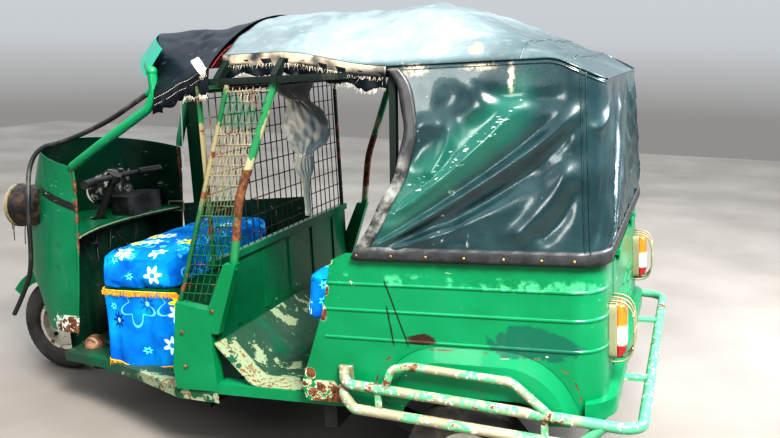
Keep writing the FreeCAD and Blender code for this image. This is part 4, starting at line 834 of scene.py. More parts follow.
def threads(name, roots, tips, radius, seed, curl, rows=4):
    """Hundreds of loose threads: three-sided tapered prisms from each root to its own bent tip."""
    rng = np.random.default_rng(seed)
    roots, tips = np.asarray(roots, float), np.asarray(tips, float)
    tips = tips + rng.normal(0, curl, tips.shape)
    middle = (roots + tips) / 2 + rng.normal(0, curl * 0.8, tips.shape)
    t = np.linspace(0, 1, rows)[None, :, None]
    line = roots[:, None] * (1 - t) ** 2 + 2 * middle[:, None] * t * (1 - t) + tips[:, None] * t ** 2
    turn = np.array([0.3, 2.4, 4.5])
    ring = np.stack([np.cos(turn), np.sin(turn), 0 * turn], -1)
    points = line[:, :, None] + ring * (radius * (1.05 - 0.6 * t))[..., None]
    base = np.arange(len(roots))[:, None, None] * rows * 3
    index = base + np.arange(rows * 3).reshape(rows, 3)[None]
    nxt = np.roll(index, -1, 2)
    faces = np.stack([index[:, :-1], nxt[:, :-1], nxt[:, 1:], index[:, 1:]], -1).reshape(-1, 4)
    made = new_mesh(name, to_row(points), faces)
    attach(made, "body")
    return made


rng = np.random.default_rng(11)
flap_roots = pick(flap[-1], rng.uniform(0, 0.42, 150), run)
edge_roots = pick(roof_edge, rng.uniform(0, AHEAD, 260)) + (0, 10, -30)
tear_at = rng.uniform(0, 1, 90)[:, None]
tear_roots = tear[2] * (1 - tear_at) + tear[3] * tear_at + (0, 18, 0)
roots = np.concatenate([flap_roots, edge_roots, tear_roots])
fray = threads("frayed_edge", roots, roots + (0, 3, -11), 0.55, 5, 5.0)

# A dark hem hangs below the roof's front edge and hides the rail and bow ends: a dark sheet put as painted shade,
# with a frayed lower edge.
edge_x, edge_out, edge_up = roof_edge.T
hem_long = 50 + 7 * np.sin(edge_x * 0.05) + 3.0 * np.random.default_rng(8).uniform(-1, 1, len(edge_x))
hem_down = np.linspace(0, 1, 10)[:, None]
hem = np.stack([np.broadcast_to(edge_x, (10, len(edge_x))), edge_out + 7 + 3 * np.sin(hem_down * 2 + edge_x * 0.09),
                edge_up - 16 - hem_down * hem_long], -1)
door_shade_hem = cloth("door_shade_hem", [hem], 0.0016)
lower = np.stack([edge_x, edge_out + 8, edge_up - 16 - hem_long], -1)
hem_root = pick(lower, np.random.default_rng(12).uniform(0, AHEAD, 240)) + (0, 0, 2)
hem_fray = threads("door_hem_fray", hem_root, hem_root + (0, 3, -10), 0.55, 9, 4.0)

# %% Finish: canopy, lining, threads
dark_vinyl = Finish("canopy_vinyl", rough=0.36, specular=0.13)
haze = dark_vinyl.noise(5.0, 5, 0.6, twist=0.8)
base = dark_vinyl.ramp(haze, (0.35, (0.003, 0.004, 0.006)), (0.70, (0.008, 0.014, 0.019)))
base = dark_vinyl.mix(dark_vinyl.noise(34.0, 4).rise(0.62, 0.74) * 0.25, base, (0.16, 0.18, 0.19))
dark_vinyl.feed("Base Color", base)
dark_vinyl.feed("Roughness", 0.24 + haze * 0.24)
dark_vinyl.bump(dark_vinyl.noise(40.0, 4, 0.6) + dark_vinyl.noise(240.0, 2) * 0.3, 0.0012, 0.6)
dress(dark_vinyl, "canopy_cloth", "door_shade_hem")

dress(mottled("maroon_lining", 0.85, 9.0, 4, ((0.35, (0.16, 0.012, 0.020)), (0.70, (0.30, 0.045, 0.055))),
              relief=(180.0, 2, 0.0008, 0.5)), "canopy_lining")
dress(mottled("thread", 0.9, 120.0, 2, ((0.3, (0.50, 0.44, 0.34)), (0.7, (0.80, 0.76, 0.66)))),
      "frayed_edge", "canopy_stitches", "door_hem_fray")
RAG_STOPS = ((0.35, (0.42, 0.42, 0.40)), (0.6, (0.80, 0.79, 0.74)), (0.8, (0.55, 0.48, 0.36)))
dress(mottled("rag", 0.85, 40.0, 4, RAG_STOPS, relief=(40.0, 4, 0.0015, 0.6)), "torn_flap")

# %% [markdown]
# ## Padded seats
# Each cushion starts as the solid model's block, is remeshed into even voxels, and is then
# blown up by a short cloth simulation with no gravity. Its foot is pinned, and no point may
# travel further than a cap, so a cushion grows a crown and soft creases but keeps its seat.

# %% Cushions blown up by cloth
def puff(name, node, inset, voxel, cap, pressure, shape=None):
    """A padded copy of a CAD block: shrink, remesh, inflate for 20 frames, cap, smooth."""
    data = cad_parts[node].data.copy()
    settle(data, 0.0001)
    points = read(data.vertices, "co")
    low, high = points.min(0), points.max(0)
    middle = (low + high) / 2
    points = middle + (points - middle) * (1 - 2 * np.asarray(inset) / (high - low)) + (0, 0, -inset[2])
    data.vertices.foreach_set("co", points.ravel())
    block = bpy.data.objects.new(name + "_block", data)
    bpy.context.scene.collection.objects.link(block)
    remesh = block.modifiers.new("voxels", "REMESH")
    remesh.mode, remesh.voxel_size = "VOXEL", voxel
    even = bpy.data.meshes.new_from_object(block.evaluated_get(bpy.context.evaluated_depsgraph_get()))
    bpy.data.objects.remove(block)
    soft = bpy.data.objects.new(name, even)
    bpy.context.scene.collection.objects.link(soft)
    rest = read(even.vertices, "co")
    pins = soft.vertex_groups.new(name="foot")
    foot = np.nonzero(rest[:, 2] < rest[:, 2].min() + 0.012)[0]
    pins.add(foot.tolist(), 1.0, "REPLACE")
    sim = soft.modifiers.new("cloth", "CLOTH")
    sim.settings.quality = 5
    sim.settings.use_pressure, sim.settings.uniform_pressure_force = True, pressure
    sim.settings.vertex_group_mass = "foot"
    sim.settings.effector_weights.gravity = 0.0
    sim.settings.tension_stiffness = sim.settings.compression_stiffness = 12.0
    sim.settings.bending_stiffness = 0.4
    sim.point_cache.frame_start, sim.point_cache.frame_end = 1, 20
    for step in range(1, 21):
        bpy.context.scene.frame_set(step)
    blown = bpy.data.meshes.new_from_object(soft.evaluated_get(bpy.context.evaluated_depsgraph_get()))
    travel = read(blown.vertices, "co") - rest
    far = np.linalg.norm(travel, axis=1, keepdims=True)
    rest = rest + travel * np.minimum(1.0, cap / np.maximum(far, 1e-9))
    soft.modifiers.clear()
    soft.vertex_groups.clear()
    bpy.context.scene.frame_set(1)
    if shape is not None:
        rest = shape(rest, low, high)
    soft.data.vertices.foreach_set("co", np.ascontiguousarray(rest).ravel())
    soft.data.polygons.foreach_set("use_smooth", np.full(len(soft.data.polygons), True))
    box_chart(soft.data)
    soften = soft.modifiers.new("soften", "SUBSURF")
    soften.levels = soften.render_levels = 1
    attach(soft, "body")
    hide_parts(node)
    print(name, "points", len(rest))
    return soft


def corner_places(data):
    """Place of every face corner."""
    return read(data.vertices, "co")[read(data.loops, "vertex_index", 1, int)]


def box_chart(data):
    """UV in metres by each face's main direction, so that a print lies flat on every side."""
    place = corner_places(data)
    normal = np.repeat(read(data.polygons, "normal"), read(data.polygons, "loop_total", 1, int), axis=0)
    main = np.abs(normal).argmax(1)[:, None]
    upright = np.where(main == 1, place[:, [0, 2]] + (0.0, 0.31), place[:, [1, 2]] + (0.47, 0.17))
    chart = np.where(main == 2, place[:, :2], upright)
    data.uv_layers.new(name="cloth").data.foreach_set("uv", chart.ravel())


def seat_crown(points, low, high):
    """Crown the top and let its front edge roll down, by a product of two cosines."""
    middle, half = (low + high) / 2, (high - low) / 2
    s = np.clip((points - middle) / half, -1, 1)
    crown = np.cos(s[:, 0] * 1.35) * np.cos(s[:, 1] * 1.45)
    top = np.clip((s[:, 2] + 0.2) / 1.2, 0, 1)
    wave = 0.0022 * np.sin(points[:, 1] * 46 + 3 * np.sin(points[:, 0] * 19)) * top
    return points + np.stack([0 * crown, 0 * crown, top * (0.012 * crown + wave)], -1)


# name, CAD block, shrink by, voxel, furthest travel, pressure, shape; metres
puff("driver_cushion", "driver_seat_cushion", (0.008, 0.008, 0.006), 0.007, 0.016, 4.0, seat_crown)
puff("passenger_cushion", "passenger_seat_cushion", (0.010, 0.010, 0.008), 0.0105, 0.018, 4.0, seat_crown)
puff("backrest_cushion", "passenger_backrest", (0.012, 0.012, 0.010), 0.010, 0.016, 4.0)

# %% [markdown]
# ## A drape with a fringe
# A printed cloth hangs from under the driver's cushion, round the seat box's near corner.
# Its lower edge sags between the corners and carries an orange fringe, as do its top and
# its rear edge.

# %% Drape and fringe
DRAPE_PATH = np.array([(1462, 262), (1468, 330), (1466, 384), (1448, 404), (1400, 409), (1320, 410), (1240, 409),
                       (1170, 407), (1128, 404)], float)
DRAPE_TOP = 636.0
n_wide, n_tall = 120, 60
knots = np.concatenate([[0], np.cumsum(np.linalg.norm(np.diff(DRAPE_PATH, axis=0), axis=1))])
drape_wide = knots[-1]
at = np.linspace(0, drape_wide, n_wide)
plan = smoothed(pick(DRAPE_PATH, at, knots), 6)
facing = np.stack([-np.gradient(plan[:, 1]), np.gradient(plan[:, 0])], -1)
facing /= -np.linalg.norm(facing, axis=1, keepdims=True)
facing *= np.sign((facing * (plan - (1312, 0))).sum(1, keepdims=True))
down = np.linspace(0, 1, n_tall)[:, None]
long = 268 + 22 * np.sin(np.pi * np.clip((at - 130) / (drape_wide - 130), 0, 1)) - 24 * np.exp(-(at / 60) ** 2)
folds = (9 * np.exp(-((at - 150) / 16) ** 2) - 8 * np.exp(-((at - 190) / 20) ** 2) + 5 * np.sin(at / 34)
         - 6 * np.exp(-((at - 330) / 30) ** 2) + 8 * np.exp(-((at - 372) / 22) ** 2))
relief = folds * down ** 0.8 + 3 * np.sin(down * 4 + at / 50) + 4 * down
drape_points = np.stack([plan[:, 0] + facing[:, 0] * relief, plan[:, 1] + facing[:, 1] * relief,
                         DRAPE_TOP - down * long], -1)
drape_points[..., 0] -= down * 14 * (at / drape_wide)
drape = cloth("seat_drape", [drape_points], 0.0012)
chart = drape.data.uv_layers.new(name="cloth")
place = corner_places(drape.data)
chart.data.foreach_set("uv", np.stack([place[:, 0] - place[:, 1] * 0.9, place[:, 2]], -1).ravel())

level_out = np.c_[facing, np.zeros(n_wide)]
fringe_edges = [np.c_[plan, np.full(n_wide, DRAPE_TOP)] + level_out * 3, drape_points[-1] + level_out * 1.5,
                drape_points[:, -1] + (-1.0, 2.0, 0.0)]
fringe_roots, fringe_tips = [], []
for line, count, way in zip(fringe_edges, (420, 420, 260), ((0, 4, -17), (0, 2, -19), (-15, 3, -5))):
    root = pick(line, rng.uniform(0, len(line) - 1, count))
    fringe_roots.append(root)
    fringe_tips.append(root + way)
fringe = threads("drape_fringe", np.concatenate(fringe_roots), np.concatenate(fringe_tips), 1.5, 8, 2.4)
tape = tubes("fringe_tape", fringe_edges, 2.6, 6)

# %% [markdown]
# ## Printed cotton
# The seats are covered in a bright blue print of simple flowers. A flower is a rosette in
# polar form: it fills the points whose distance from its middle is below a radius that
# waves with the angle. Voronoi cells scatter the middles and choose each flower's kind.

# %% Finish: flower print
def rosette(finish, chart, scale, petals, size, deep, low, high):
    """Flowers of one kind: their mask, the way out from their middles, their cells, their edge."""
    flat, scatter = {"voronoi_dimensions": "2D"}, {"Vector": chart, "Scale": scale, "Randomness": 0.75}
    spot_at = finish.add("ShaderNodeTexVoronoi", flat, scatter, "Position")
    kind = finish.axes(finish.add("ShaderNodeTexVoronoi", flat, scatter, "Color"))
    gap = finish.add("ShaderNodeVectorMath", {"operation": "SUBTRACT"}, {0: chart, 1: spot_at})
    gx, gy, _ = finish.axes(gap)
    angle = finish.add("ShaderNodeMath", {"operation": "ARCTAN2"}, {0: gy, 1: gx})
    reach = (gx * gx + gy * gy) ** 0.5
    edge_at = size * (1.0 - deep + deep * (angle * petals + kind[1] * 6.0).cosine())
    chosen = kind[0].rise(low, low + 0.01) * (1.0 - kind[0].rise(high, high + 0.01))
    return (1.0 - (reach / edge_at).rise(0.90, 1.0)) * chosen, reach, chosen, edge_at


cotton = Finish("flower_cotton", rough=0.8, specular=0.12)
chart_uv = cotton.add("ShaderNodeUVMap", {"uv_map": "cloth"}, {})
cloud = cotton.noise(6.0, 4, 0.55, chart_uv)
base = cotton.ramp(cloud, (0.30, (0.000, 0.075, 0.340)), (0.52, (0.000, 0.180, 0.520)),
                   (0.70, (0.004, 0.320, 0.610)))
_, reach, chosen, edge_at = rosette(cotton, chart_uv, 4.6, 5.0, 0.085, 0.24, 0.40, 1.0)
ring = (reach / edge_at).band(0.93, 0.03, 0.05) * chosen
base = cotton.mix(ring * 0.65, base, (0.16, 0.62, 0.95))
for scale, petals, size, low, high, colour, heart in (  # cells to a metre, then the radius in metres
        (7.3, 8.0, 0.036, 0.0, 0.42, (0.004, 0.010, 0.120), (0.30, 0.70, 0.90)),
        (6.1, 7.0, 0.040, 0.55, 0.80, (0.88, 0.70, 0.010), (0.010, 0.20, 0.45)),
        (6.7, 6.0, 0.038, 0.62, 1.0, (0.62, 0.88, 0.98), (0.02, 0.24, 0.60)),
        (13.0, 6.0, 0.016, 0.60, 1.0, (0.10, 0.62, 0.80), (0.02, 0.10, 0.40))):
    mask, reach, chosen, _ = rosette(cotton, chart_uv, scale, petals, size, 0.26, low, high)
    base = cotton.mix(mask, base, colour)
    base = cotton.mix((1.0 - (reach / (size * 0.30)).rise(0.8, 1.0)) * chosen, base, heart)
dirt = cotton.noise(4.0, 6, 0.65)
base = cotton.mix(dirt.rise(0.56, 0.80) * 0.35, base, (0.10, 0.11, 0.13))
cotton.feed("Base Color", base)
weave_x = (cotton.axes(chart_uv)[0] * 4200.0).sine()
weave_y = (cotton.axes(chart_uv)[1] * 4200.0).sine()
cotton.bump(weave_x * weave_y * 0.3 + cotton.noise(22.0, 4, 0.6, chart_uv), 0.0022, 0.55)
dress(cotton, "driver_cushion", "passenger_cushion", "backrest_cushion", "seat_drape")

dress(mottled("orange_fringe", 0.8, 90.0, 3, ((0.3, (0.50, 0.17, 0.01)), (0.7, (0.86, 0.42, 0.04)))),
      "drape_fringe", "fringe_tape")

# %% [markdown]
# ## The gathered curtain
# A curtain has been drawn together on its rod, stuffed into a bag and knotted. Round its
# axis the section waves like pleats: many sharp waves at the rod, few soft ones on the bag.

# %% Curtain
CURTAIN_ROWS = np.array([  # height, middle x and y, half x, half y, depth of the pleats
    (1352, 842, -92, 12, 150, 0.30), (1335, 840, -86, 14, 138, 0.30), (1310, 830, -70, 20, 92, 0.24),
    (1290, 812, -54, 30, 50, 0.16), (1262, 794, -46, 54, 78, 0.07), (1225, 782, -44, 70, 104, 0.04),
    (1180, 776, -44, 76, 114, 0.04), (1140, 780, -44, 70, 104, 0.05), (1105, 790, -44, 44, 60, 0.10),
    (1084, 798, -44, 22, 26, 0.20), (1066, 800, -40, 30, 40, 0.18), (1035, 800, -38, 32, 50, 0.16),
    (1012, 800, -44, 24, 36, 0.22), (980, 802, -52, 12, 17, 0.22), (900, 806, -60, 9, 14, 0.25),
    (838, 808, -66, 10, 15, 0.25)])
fine_z = np.linspace(0, 1, 150)
key = np.linspace(0, 1, len(CURTAIN_ROWS))
rows = smoothed(pick(CURTAIN_ROWS, fine_z, key), 4)
turn = np.linspace(0, 2 * math.pi, 160, endpoint=False)
z, mx, my, half_x, half_y, deep = (rows[:, k:k + 1] for k in range(6))
pleat = np.sin(17 * turn + 1.5 * np.sin(z / 40)) * 0.6 + np.sin(9 * turn + z / 60) * 0.4
bag = smooth_step((1300 - z) / 40) * smooth_step((z - 1085) / 30)
crease = (0.09 * np.sin(3 * turn + z / 24) + 0.07 * np.sin(5 * turn - z / 15 + 2)
          + 0.035 * np.sin(11 * turn + z / 9))
out = 1 + deep * pleat + bag * crease
CURTAIN_FRONT = 856.0  # no fold reaches further forward
curtain_points = np.stack([np.minimum(mx + half_x * np.cos(turn) * out, CURTAIN_FRONT),
                           my + half_y * np.sin(turn) * out, z + 6 * bag * np.sin(2 * turn + z / 31)], -1)
n_z, n_turn = curtain_points.shape[:2]
curtain = new_mesh("knotted_curtain", to_row(curtain_points), grid_faces(n_z, n_turn, 0, True))
settle(curtain.data, fill=True)
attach(curtain, "body")
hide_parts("curtain")
knot_band = [np.stack([799 + (25 + 2 * np.sin(4 * turn)) * np.cos(turn),
                       -44 + (30 + 2 * np.cos(3 * turn)) * np.sin(turn),
                       h + 5 * np.sin(turn + k)], -1) for k, h in enumerate((1086, 1080, 1296))]
knot_band[2] = (knot_band[2] - (799, -44, 0)) * (1.25, 1.75, 1) + (812, -54, 0)
ties = tubes("curtain_ties", knot_band, 4.0, 8)

muslin = Finish("grey_muslin", rough=0.9, specular=0.2)
mottle = muslin.noise(11.0, 5, 0.6)
_, _, high_up = muslin.axes()
base = muslin.ramp(mottle, (0.30, (0.78, 0.76, 0.66)), (0.55, (0.95, 0.93, 0.84)))
# The cloth above 1.29 m is darkened: a painted shadow under the canopy.
base = muslin.mix(high_up.rise(1.29, 1.34) * 0.5, base, (0.36, 0.34, 0.27))
muslin.feed("Base Color", base)
muslin.bump(muslin.noise(30.0, 4, 0.6), 0.003, 0.6)
dress(muslin, "knotted_curtain", "curtain_ties")

# %% [markdown]
# ## Enamel that has lived outdoors
# Every painted panel shares one recipe. Cloudy noise fades the colour, chips open where two
# scales of noise agree, and inside the largest chips the bare steel has rusted. What a
# panel has alone, such as a scratch, a repair or a rusty foot, is added as a mask of its own.

# %% The enamel recipe
RUST_DARK, RUST_LIGHT = (0.050, 0.020, 0.010), (0.165, 0.070, 0.032)


def enamel(name, colour, faded, wear, dirt, rough=0.34, undercoat=(0.52, 0.60, 0.50), extra=None, coat=0.12):
    """Painted sheet: faded colour, chips to undercoat, rust inside them, dirt in the hollows.
    extra(finish, x, y, z, fine) may return more rust, more undercoat and a list of (mask, colour)."""
    paint = Finish(name, rough=rough, coat=coat, specular=0.30)
    x, y, z = paint.axes()
    cloud = paint.noise(2.6, 5, 0.55, twist=0.4)
    middle = paint.noise(13.0, 6, 0.62)
    fine = paint.noise(64.0, 4, 0.65)
    run_down = paint.noise(24.0, 4, 0.6, paint.stretched((1.0, 1.0, 0.10)))
    chip = middle * 0.62 + fine * 0.38
    chips = chip.rise(0.690 - 0.10 * wear, 0.715 - 0.10 * wear)
    deep = chip.rise(0.730 - 0.10 * wear, 0.760 - 0.10 * wear)
    layers = []
    if extra is not None:
        more_rust, more_chips, layers = extra(paint, x, y, z, fine)
        chips = chips.most(more_chips.rise(0.40, 0.52))
        deep = deep.most(more_rust.rise(0.42, 0.60))
    base = paint.ramp(cloud, (0.32, colour), (0.70, faded))
    for mask, tint in layers:
        base = paint.mix(mask, base, tint)
    base = paint.mix(cloud.rise(0.45, 0.75) * run_down.rise(0.45, 0.75) * dirt, base, (0.10, 0.09, 0.07))
    hair = paint.noise(40.0, 3, 0.7, paint.stretched((0.25, 1.0, 2.4))).rise(0.66, 0.70)
    scratch = hair * paint.noise(5.0, 2).rise(0.5, 0.6)
    base = paint.mix(scratch * 0.45, base, undercoat)
    base = paint.mix(chips, base, undercoat)
    rust = paint.mix(fine.rise(0.35, 0.65), RUST_DARK, RUST_LIGHT)
    base = paint.mix(deep, base, rust)
    paint.feed("Base Color", base)
    paint.feed("Roughness", rough + chips * 0.25 + deep * 0.3 + cloud.rise(0.5, 0.8) * dirt * 0.4)
    paint.bump(0.6 * cloud + 0.10 * middle - chips * 0.05 - deep * 0.03 + fine * 0.02, 0.006, 0.7)
    return paint


GREEN, GREEN_FADED = (0.000, 0.125, 0.046), (0.001, 0.190, 0.080)
# The second pair is the body green darkened for the parts inside the cab: painted shade.
CAB_SHADE_GREEN, CAB_SHADE_GREEN_FADED = (0.001, 0.070, 0.030), (0.003, 0.135, 0.058)


def below(z, level, soft):
    """1 under the level, 0 over it."""
    return 1.0 - z.rise(level - soft, level + soft)


def tub_marks(paint, x, y, z, fine):
    """Left quarter panel: rusty foot, rust over the arch, a dark repair, a long scratch."""
    jag = paint.noise(18.0, 5, 0.65)
    near = y.rise(0.0, 0.05)
    span = (((x + 0.028) / 0.262) ** 4.0 + ((z - 0.338) / 0.200).most(0.0) ** 4.0) ** 0.25
    arch = span.band(1.19, 0.006, 0.012) * below(z, 0.60, 0.02) * 0.85
    foot = x.rise(0.36, 0.40) * below(z, 0.445, 0.05)
    knocks = paint.spots(jag * 0.8 - 0.4, (430, 745, 14, 26), (444, 668, 18, 34), (410, 834, 12, 14))
    front = knocks.most(paint.spot(500, 470, 26, 26, 0.6, jag * 0.9 - 0.4))
    rust = (arch * jag.rise(0.42, 0.62)).most(foot * jag.rise(0.35, 0.6)).most(front * jag.rise(0.35, 0.5))
    blot = paint.spot(126, 603, 44, 17, 0.2, jag * 1.8 - 0.9) * near
    chips = (foot * jag.rise(0.42, 0.50)).most(front * jag.rise(0.30, 0.45))
    patch = paint.spot(-195, 612, 138, 50, 0.12, jag * 1.6 - 0.8) * near * below(z, 0.666, 0.004)
    line = (x - 0.171 - (z - 0.583) * 0.335).band(0.0, 0.0016, 0.002) * z.band(0.680, 0.09, 0.02) * near
    crack = (x - 0.240 - (z - 0.70) * 0.15 + jag * 0.012).band(0.0, 0.0016, 0.002) * z.band(0.640, 0.05, 0.02) * near
    pale = (z - 0.790 + fine * 0.02).band(0.0, 0.006, 0.02) * jag.rise(0.5, 0.6)
    return rust, chips, [(patch * 0.85, (0.004, 0.075, 0.050)), (blot, (0.030, 0.014, 0.009)),
                         (line.most(crack), (0.008, 0.012, 0.010)), (pale * 0.5, (0.10, 0.42, 0.22))]


def cowl_marks(paint, x, y, z, fine):
    """Cowl: rusty rear lip, a black strip, a rusty foot and two dents' painted shadows; painted shade on its inside
    faces.
    """
    jag = paint.noise(20.0, 5, 0.65)
    lip = (x - 1.574 + (z - 0.90) * 0.02).band(0.0, 0.008, 0.008)
    foot = below(z, 0.50, 0.04) * below(x, 1.78, 0.05)
    rust = (lip * jag.rise(0.36, 0.55)).most(foot * jag.rise(0.4, 0.58))
    strip = (z - 0.985 + (1.75 - x) * 0.30).band(0.0, 0.014, 0.004) * y.rise(0.28, 0.32)
    dents = paint.spots(jag * 0.6 - 0.3, (1689, 786, 26, 18, 0.8), (1708, 693, 18, 26, 0.8))
    # Faces turned into the cowl are darkened: painted shade.
    inner = below(paint.turned_to(1.50, 0.0, 0.75), 0.0, 0.02)
    chips = (lip * jag.rise(0.45, 0.55)).most(foot * jag.rise(0.4, 0.5))
    return rust, chips, [(inner * 0.92, (0.001, 0.018, 0.010)), (strip, (0.012, 0.016, 0.014)),
                         (dents * 0.6, (0.01, 0.07, 0.04))]


def side_marks(paint, x, y, z, fine):
    """Lower side panel: body green outside, painted shade on its inside faces."""
    jag = paint.noise(20.0, 5, 0.65)
    # Faces turned into the cab are darkened: painted shade.
    inner = below(paint.turned_to(1.2, 0.0, 0.6), 0.0, 0.02)
    foot = below(z, 0.43, 0.03)
    return foot * jag.rise(0.45, 0.6), foot * jag.rise(0.40, 0.5), [(inner * 0.9, (0.001, 0.030, 0.014))]


def post_marks(paint, x, y, z, fine):
    """B-post: rust along its foot and its front fold, bare white metal on the tube."""
    jag = paint.noise(22.0, 5, 0.66)
    tube_part = z.rise(0.80, 0.83)
    foot = below(z, 0.345, 0.02)
    bare = tube_part * paint.noise(6.0, 4, 0.6, paint.stretched((1, 1, 0.35))).rise(0.52, 0.58)
    brown = tube_part * z.band(0.99, 0.10, 0.03) * jag.rise(0.30, 0.45)
    rust, chips = (foot * jag.rise(0.4, 0.55)).most(brown), bare.most(foot * jag.rise(0.4, 0.5))
    return rust, chips, [(tube_part * 0.4, (0.05, 0.14, 0.06))]


def floor_marks(paint, x, y, z, fine):
    """Trodden floor: worn through to pale undercoat, with dark dirt in the middle."""
    worn = paint.noise(5.0, 6, 0.65)
    edge = y.rise(0.44, 0.54) * worn.rise(0.40, 0.52)
    chips = (worn.rise(0.55, 0.60) * 0.9).most(edge)
    return edge * fine.rise(0.5, 0.6), chips, [(worn.rise(0.36, 0.50) * 0.55, (0.035, 0.036, 0.032))]


def guard_marks(paint, x, y, z, fine):
    """Guard tubes: white paint over green, green again where it has worn."""
    jag = paint.noise(9.0, 5, 0.66)
    rust = jag.rise(0.60, 0.66)
    rear = below(x + jag * 0.5, -0.12, 0.06)
    green = jag.rise(0.50, 0.56) * below(jag, 0.60, 0.03)
    white = fine.rise(0.56, 0.62) * jag.rise(0.44, 0.50) * 0.8
    return rust, jag * 0.0, [(rear * 0.85, (0.05, 0.26, 0.15)), (green, (0.06, 0.30, 0.14)),
                             (white, (0.62, 0.62, 0.52))]


def wire_marks(paint, x, y, z, fine):
    """Grille wires: pale primer with green left in places, and painted shade, near black, towards the far side."""
    jag = paint.noise(5.0, 4, 0.6)
    rust = paint.noise(16.0, 4, 0.6).rise(0.56, 0.64)
    # Wires towards the far side are near black: painted shade.
    return rust, jag * 0.0, [(jag.rise(0.44, 0.50) * z.rise(0.90, 1.10), (0.20, 0.17, 0.10)),
                             (below(y, 0.36, 0.10), (0.006, 0.012, 0.008))]


OLIVE = (0.42, 0.40, 0.27)
ENAMELS = (  # name, colour, faded, wear, dirt, what else the recipe takes, the pieces that it paints
    ("tub_green", GREEN, GREEN_FADED, 0.42, 0.30, dict(undercoat=OLIVE, extra=tub_marks),
     ("quarter_panel_left", "quarter_panel_right")),
    ("cowl_green", (0.000, 0.088, 0.036), (0.001, 0.140, 0.064), 0.40, 0.32, dict(extra=cowl_marks), ("front_cowl",)),
    ("side_green", GREEN, GREEN_FADED, 0.45, 0.35, dict(undercoat=OLIVE, extra=side_marks), ("right_side_panel",)),
    ("post_green", GREEN, GREEN_FADED, 0.50, 0.35, dict(undercoat=(0.26, 0.24, 0.15), extra=post_marks),
     ("b_post_left", "b_post_right")),
    ("plain_green", GREEN, GREEN_FADED, 0.62, 0.40, {},
     ("rear_panel", "engine_hatch", "rear_bumper", "mudguard", "sills")),
    ("inner_green", CAB_SHADE_GREEN, CAB_SHADE_GREEN_FADED, 0.46, 0.20, dict(rough=0.30),
     ("partition", "dash_shelf", "driver_seat_box", "passenger_seat_box", "steering_head")),
    ("shaded_green", (0.001, 0.016, 0.009), (0.002, 0.034, 0.018), 0.40, 0.40, dict(rough=0.5, coat=0.0),
     ("bulkhead",)),
    ("floor_green", CAB_SHADE_GREEN, (0.010, 0.110, 0.060), 0.80, 0.70,
     dict(rough=0.55, undercoat=(0.19, 0.24, 0.15), extra=floor_marks, coat=0.0),
     ("driver_floor", "passenger_floor")),
    ("guard_white", (0.14, 0.13, 0.08), (0.26, 0.24, 0.17), 0.66, 0.35,
     dict(undercoat=(0.10, 0.36, 0.18), extra=guard_marks), ("guard_frame",)),
    # The bows are near black so that they read as shade under the hood: painted shade.
    ("bow_shade_black", (0.0006, 0.004, 0.003), (0.002, 0.009, 0.006), 0.4, 0.6,
     dict(rough=0.6, undercoat=(0.06, 0.06, 0.045), coat=0.0), ("hood_bows",)),
    ("wire_paint", (0.003, 0.07, 0.03), (0.02, 0.13, 0.05), 0.30, 0.3,
     dict(rough=0.5, undercoat=(0.26, 0.23, 0.15), extra=wire_marks), ("partition_grille", "side_grille_left")),
    ("turquoise", (0.00, 0.19, 0.125), (0.01, 0.27, 0.19), 0.52, 0.3, dict(undercoat=(0.42, 0.40, 0.30)),
     ("roof_visor",)),
    ("pillar_green", GREEN, GREEN_FADED, 0.56, 0.3, {}, ("windscreen_frame",)),
    ("black_steel", (0.010, 0.011, 0.010), (0.030, 0.030, 0.028), 0.62, 0.5,
     dict(rough=0.5, undercoat=(0.10, 0.09, 0.08)),
     ("underframe", "steering_column", "handlebar", "swing_arm_left", "swing_arm_right")),
    ("cage_paint", (0.13, 0.14, 0.08), (0.26, 0.25, 0.17), 0.66, 0.4, dict(undercoat=(0.02, 0.22, 0.10)),
     ("tail_lamp_housings",)))
paints = {}
for name, colour, faded, wear, dirty, others, pieces in ENAMELS:
    paints[name] = enamel(name, colour, faded, wear, dirty, **others)
    dress(paints[name], *pieces)

# %% Finish: engine block, dash box and horn
dress(mottled("cast_engine", 0.6, 12.0, 5, ((0.35, (0.05, 0.045, 0.04)), (0.7, (0.14, 0.13, 0.12))), metal=0.3,
              relief=(90.0, 3, 0.001, 1.0)), "engine")
dress(mottled("black_plastic", 0.55, 14.0, 4, ((0.4, (0.008, 0.009, 0.009)), (0.75, (0.06, 0.06, 0.055))),
              relief=(300.0, 2, 0.0004, 0.4)), "dash_box")
dress(mottled("horn_brown", 0.55, 40.0, 4, ((0.35, (0.10, 0.05, 0.028)), (0.7, (0.32, 0.19, 0.12))), metal=0.2,
              relief=(40.0, 4, 0.001, 0.6)), "horn")

# %% [markdown]
# ## Lamps
# A tail lamp's lens is one moulding in three colours: orange above, clear in the middle and
# red below, with fine flutes. The left headlamp is a burnt-out pot with a pale rim.

# %% Finish: lamps
signal = Finish("tail_lens", rough=0.12, coat=0.6)
_, sy, sz = signal.axes()
base = signal.ramp(sz * 4.0 - 2.0, (0.30, (0.22, 0.004, 0.006)), (0.34, (0.72, 0.66, 0.58)),
                   (0.52, (0.70, 0.62, 0.52)), (0.56, (0.75, 0.16, 0.010)))
signal.feed("Base Color", signal.mix(signal.noise(50.0, 4).rise(0.5, 0.75) * 0.5, base, (0.20, 0.12, 0.06)))
signal.bump((sy * 1400.0).sine() * 0.5 + 0.5, 0.0012, 0.7)
dress(signal, "tail_lamp_lenses")
glass = Finish("lamp_glass", rough=0.06, coat=0.5)
_, gy, gz = glass.axes()
glass.feed("Base Color", glass.ramp(glass.noise(8.0, 3), (0.3, (0.50, 0.52, 0.52)), (0.7, (0.78, 0.80, 0.80))))
glass.bump((gy * 900.0).sine() * (gz * 520.0).sine() * 0.5 + 0.5, 0.002, 0.6)
dress(glass, "headlamp_lens_right")
pot = Finish("lamp_pot", rough=0.55, metal=0.2)
pot_x, pot_y, _ = pot.axes()
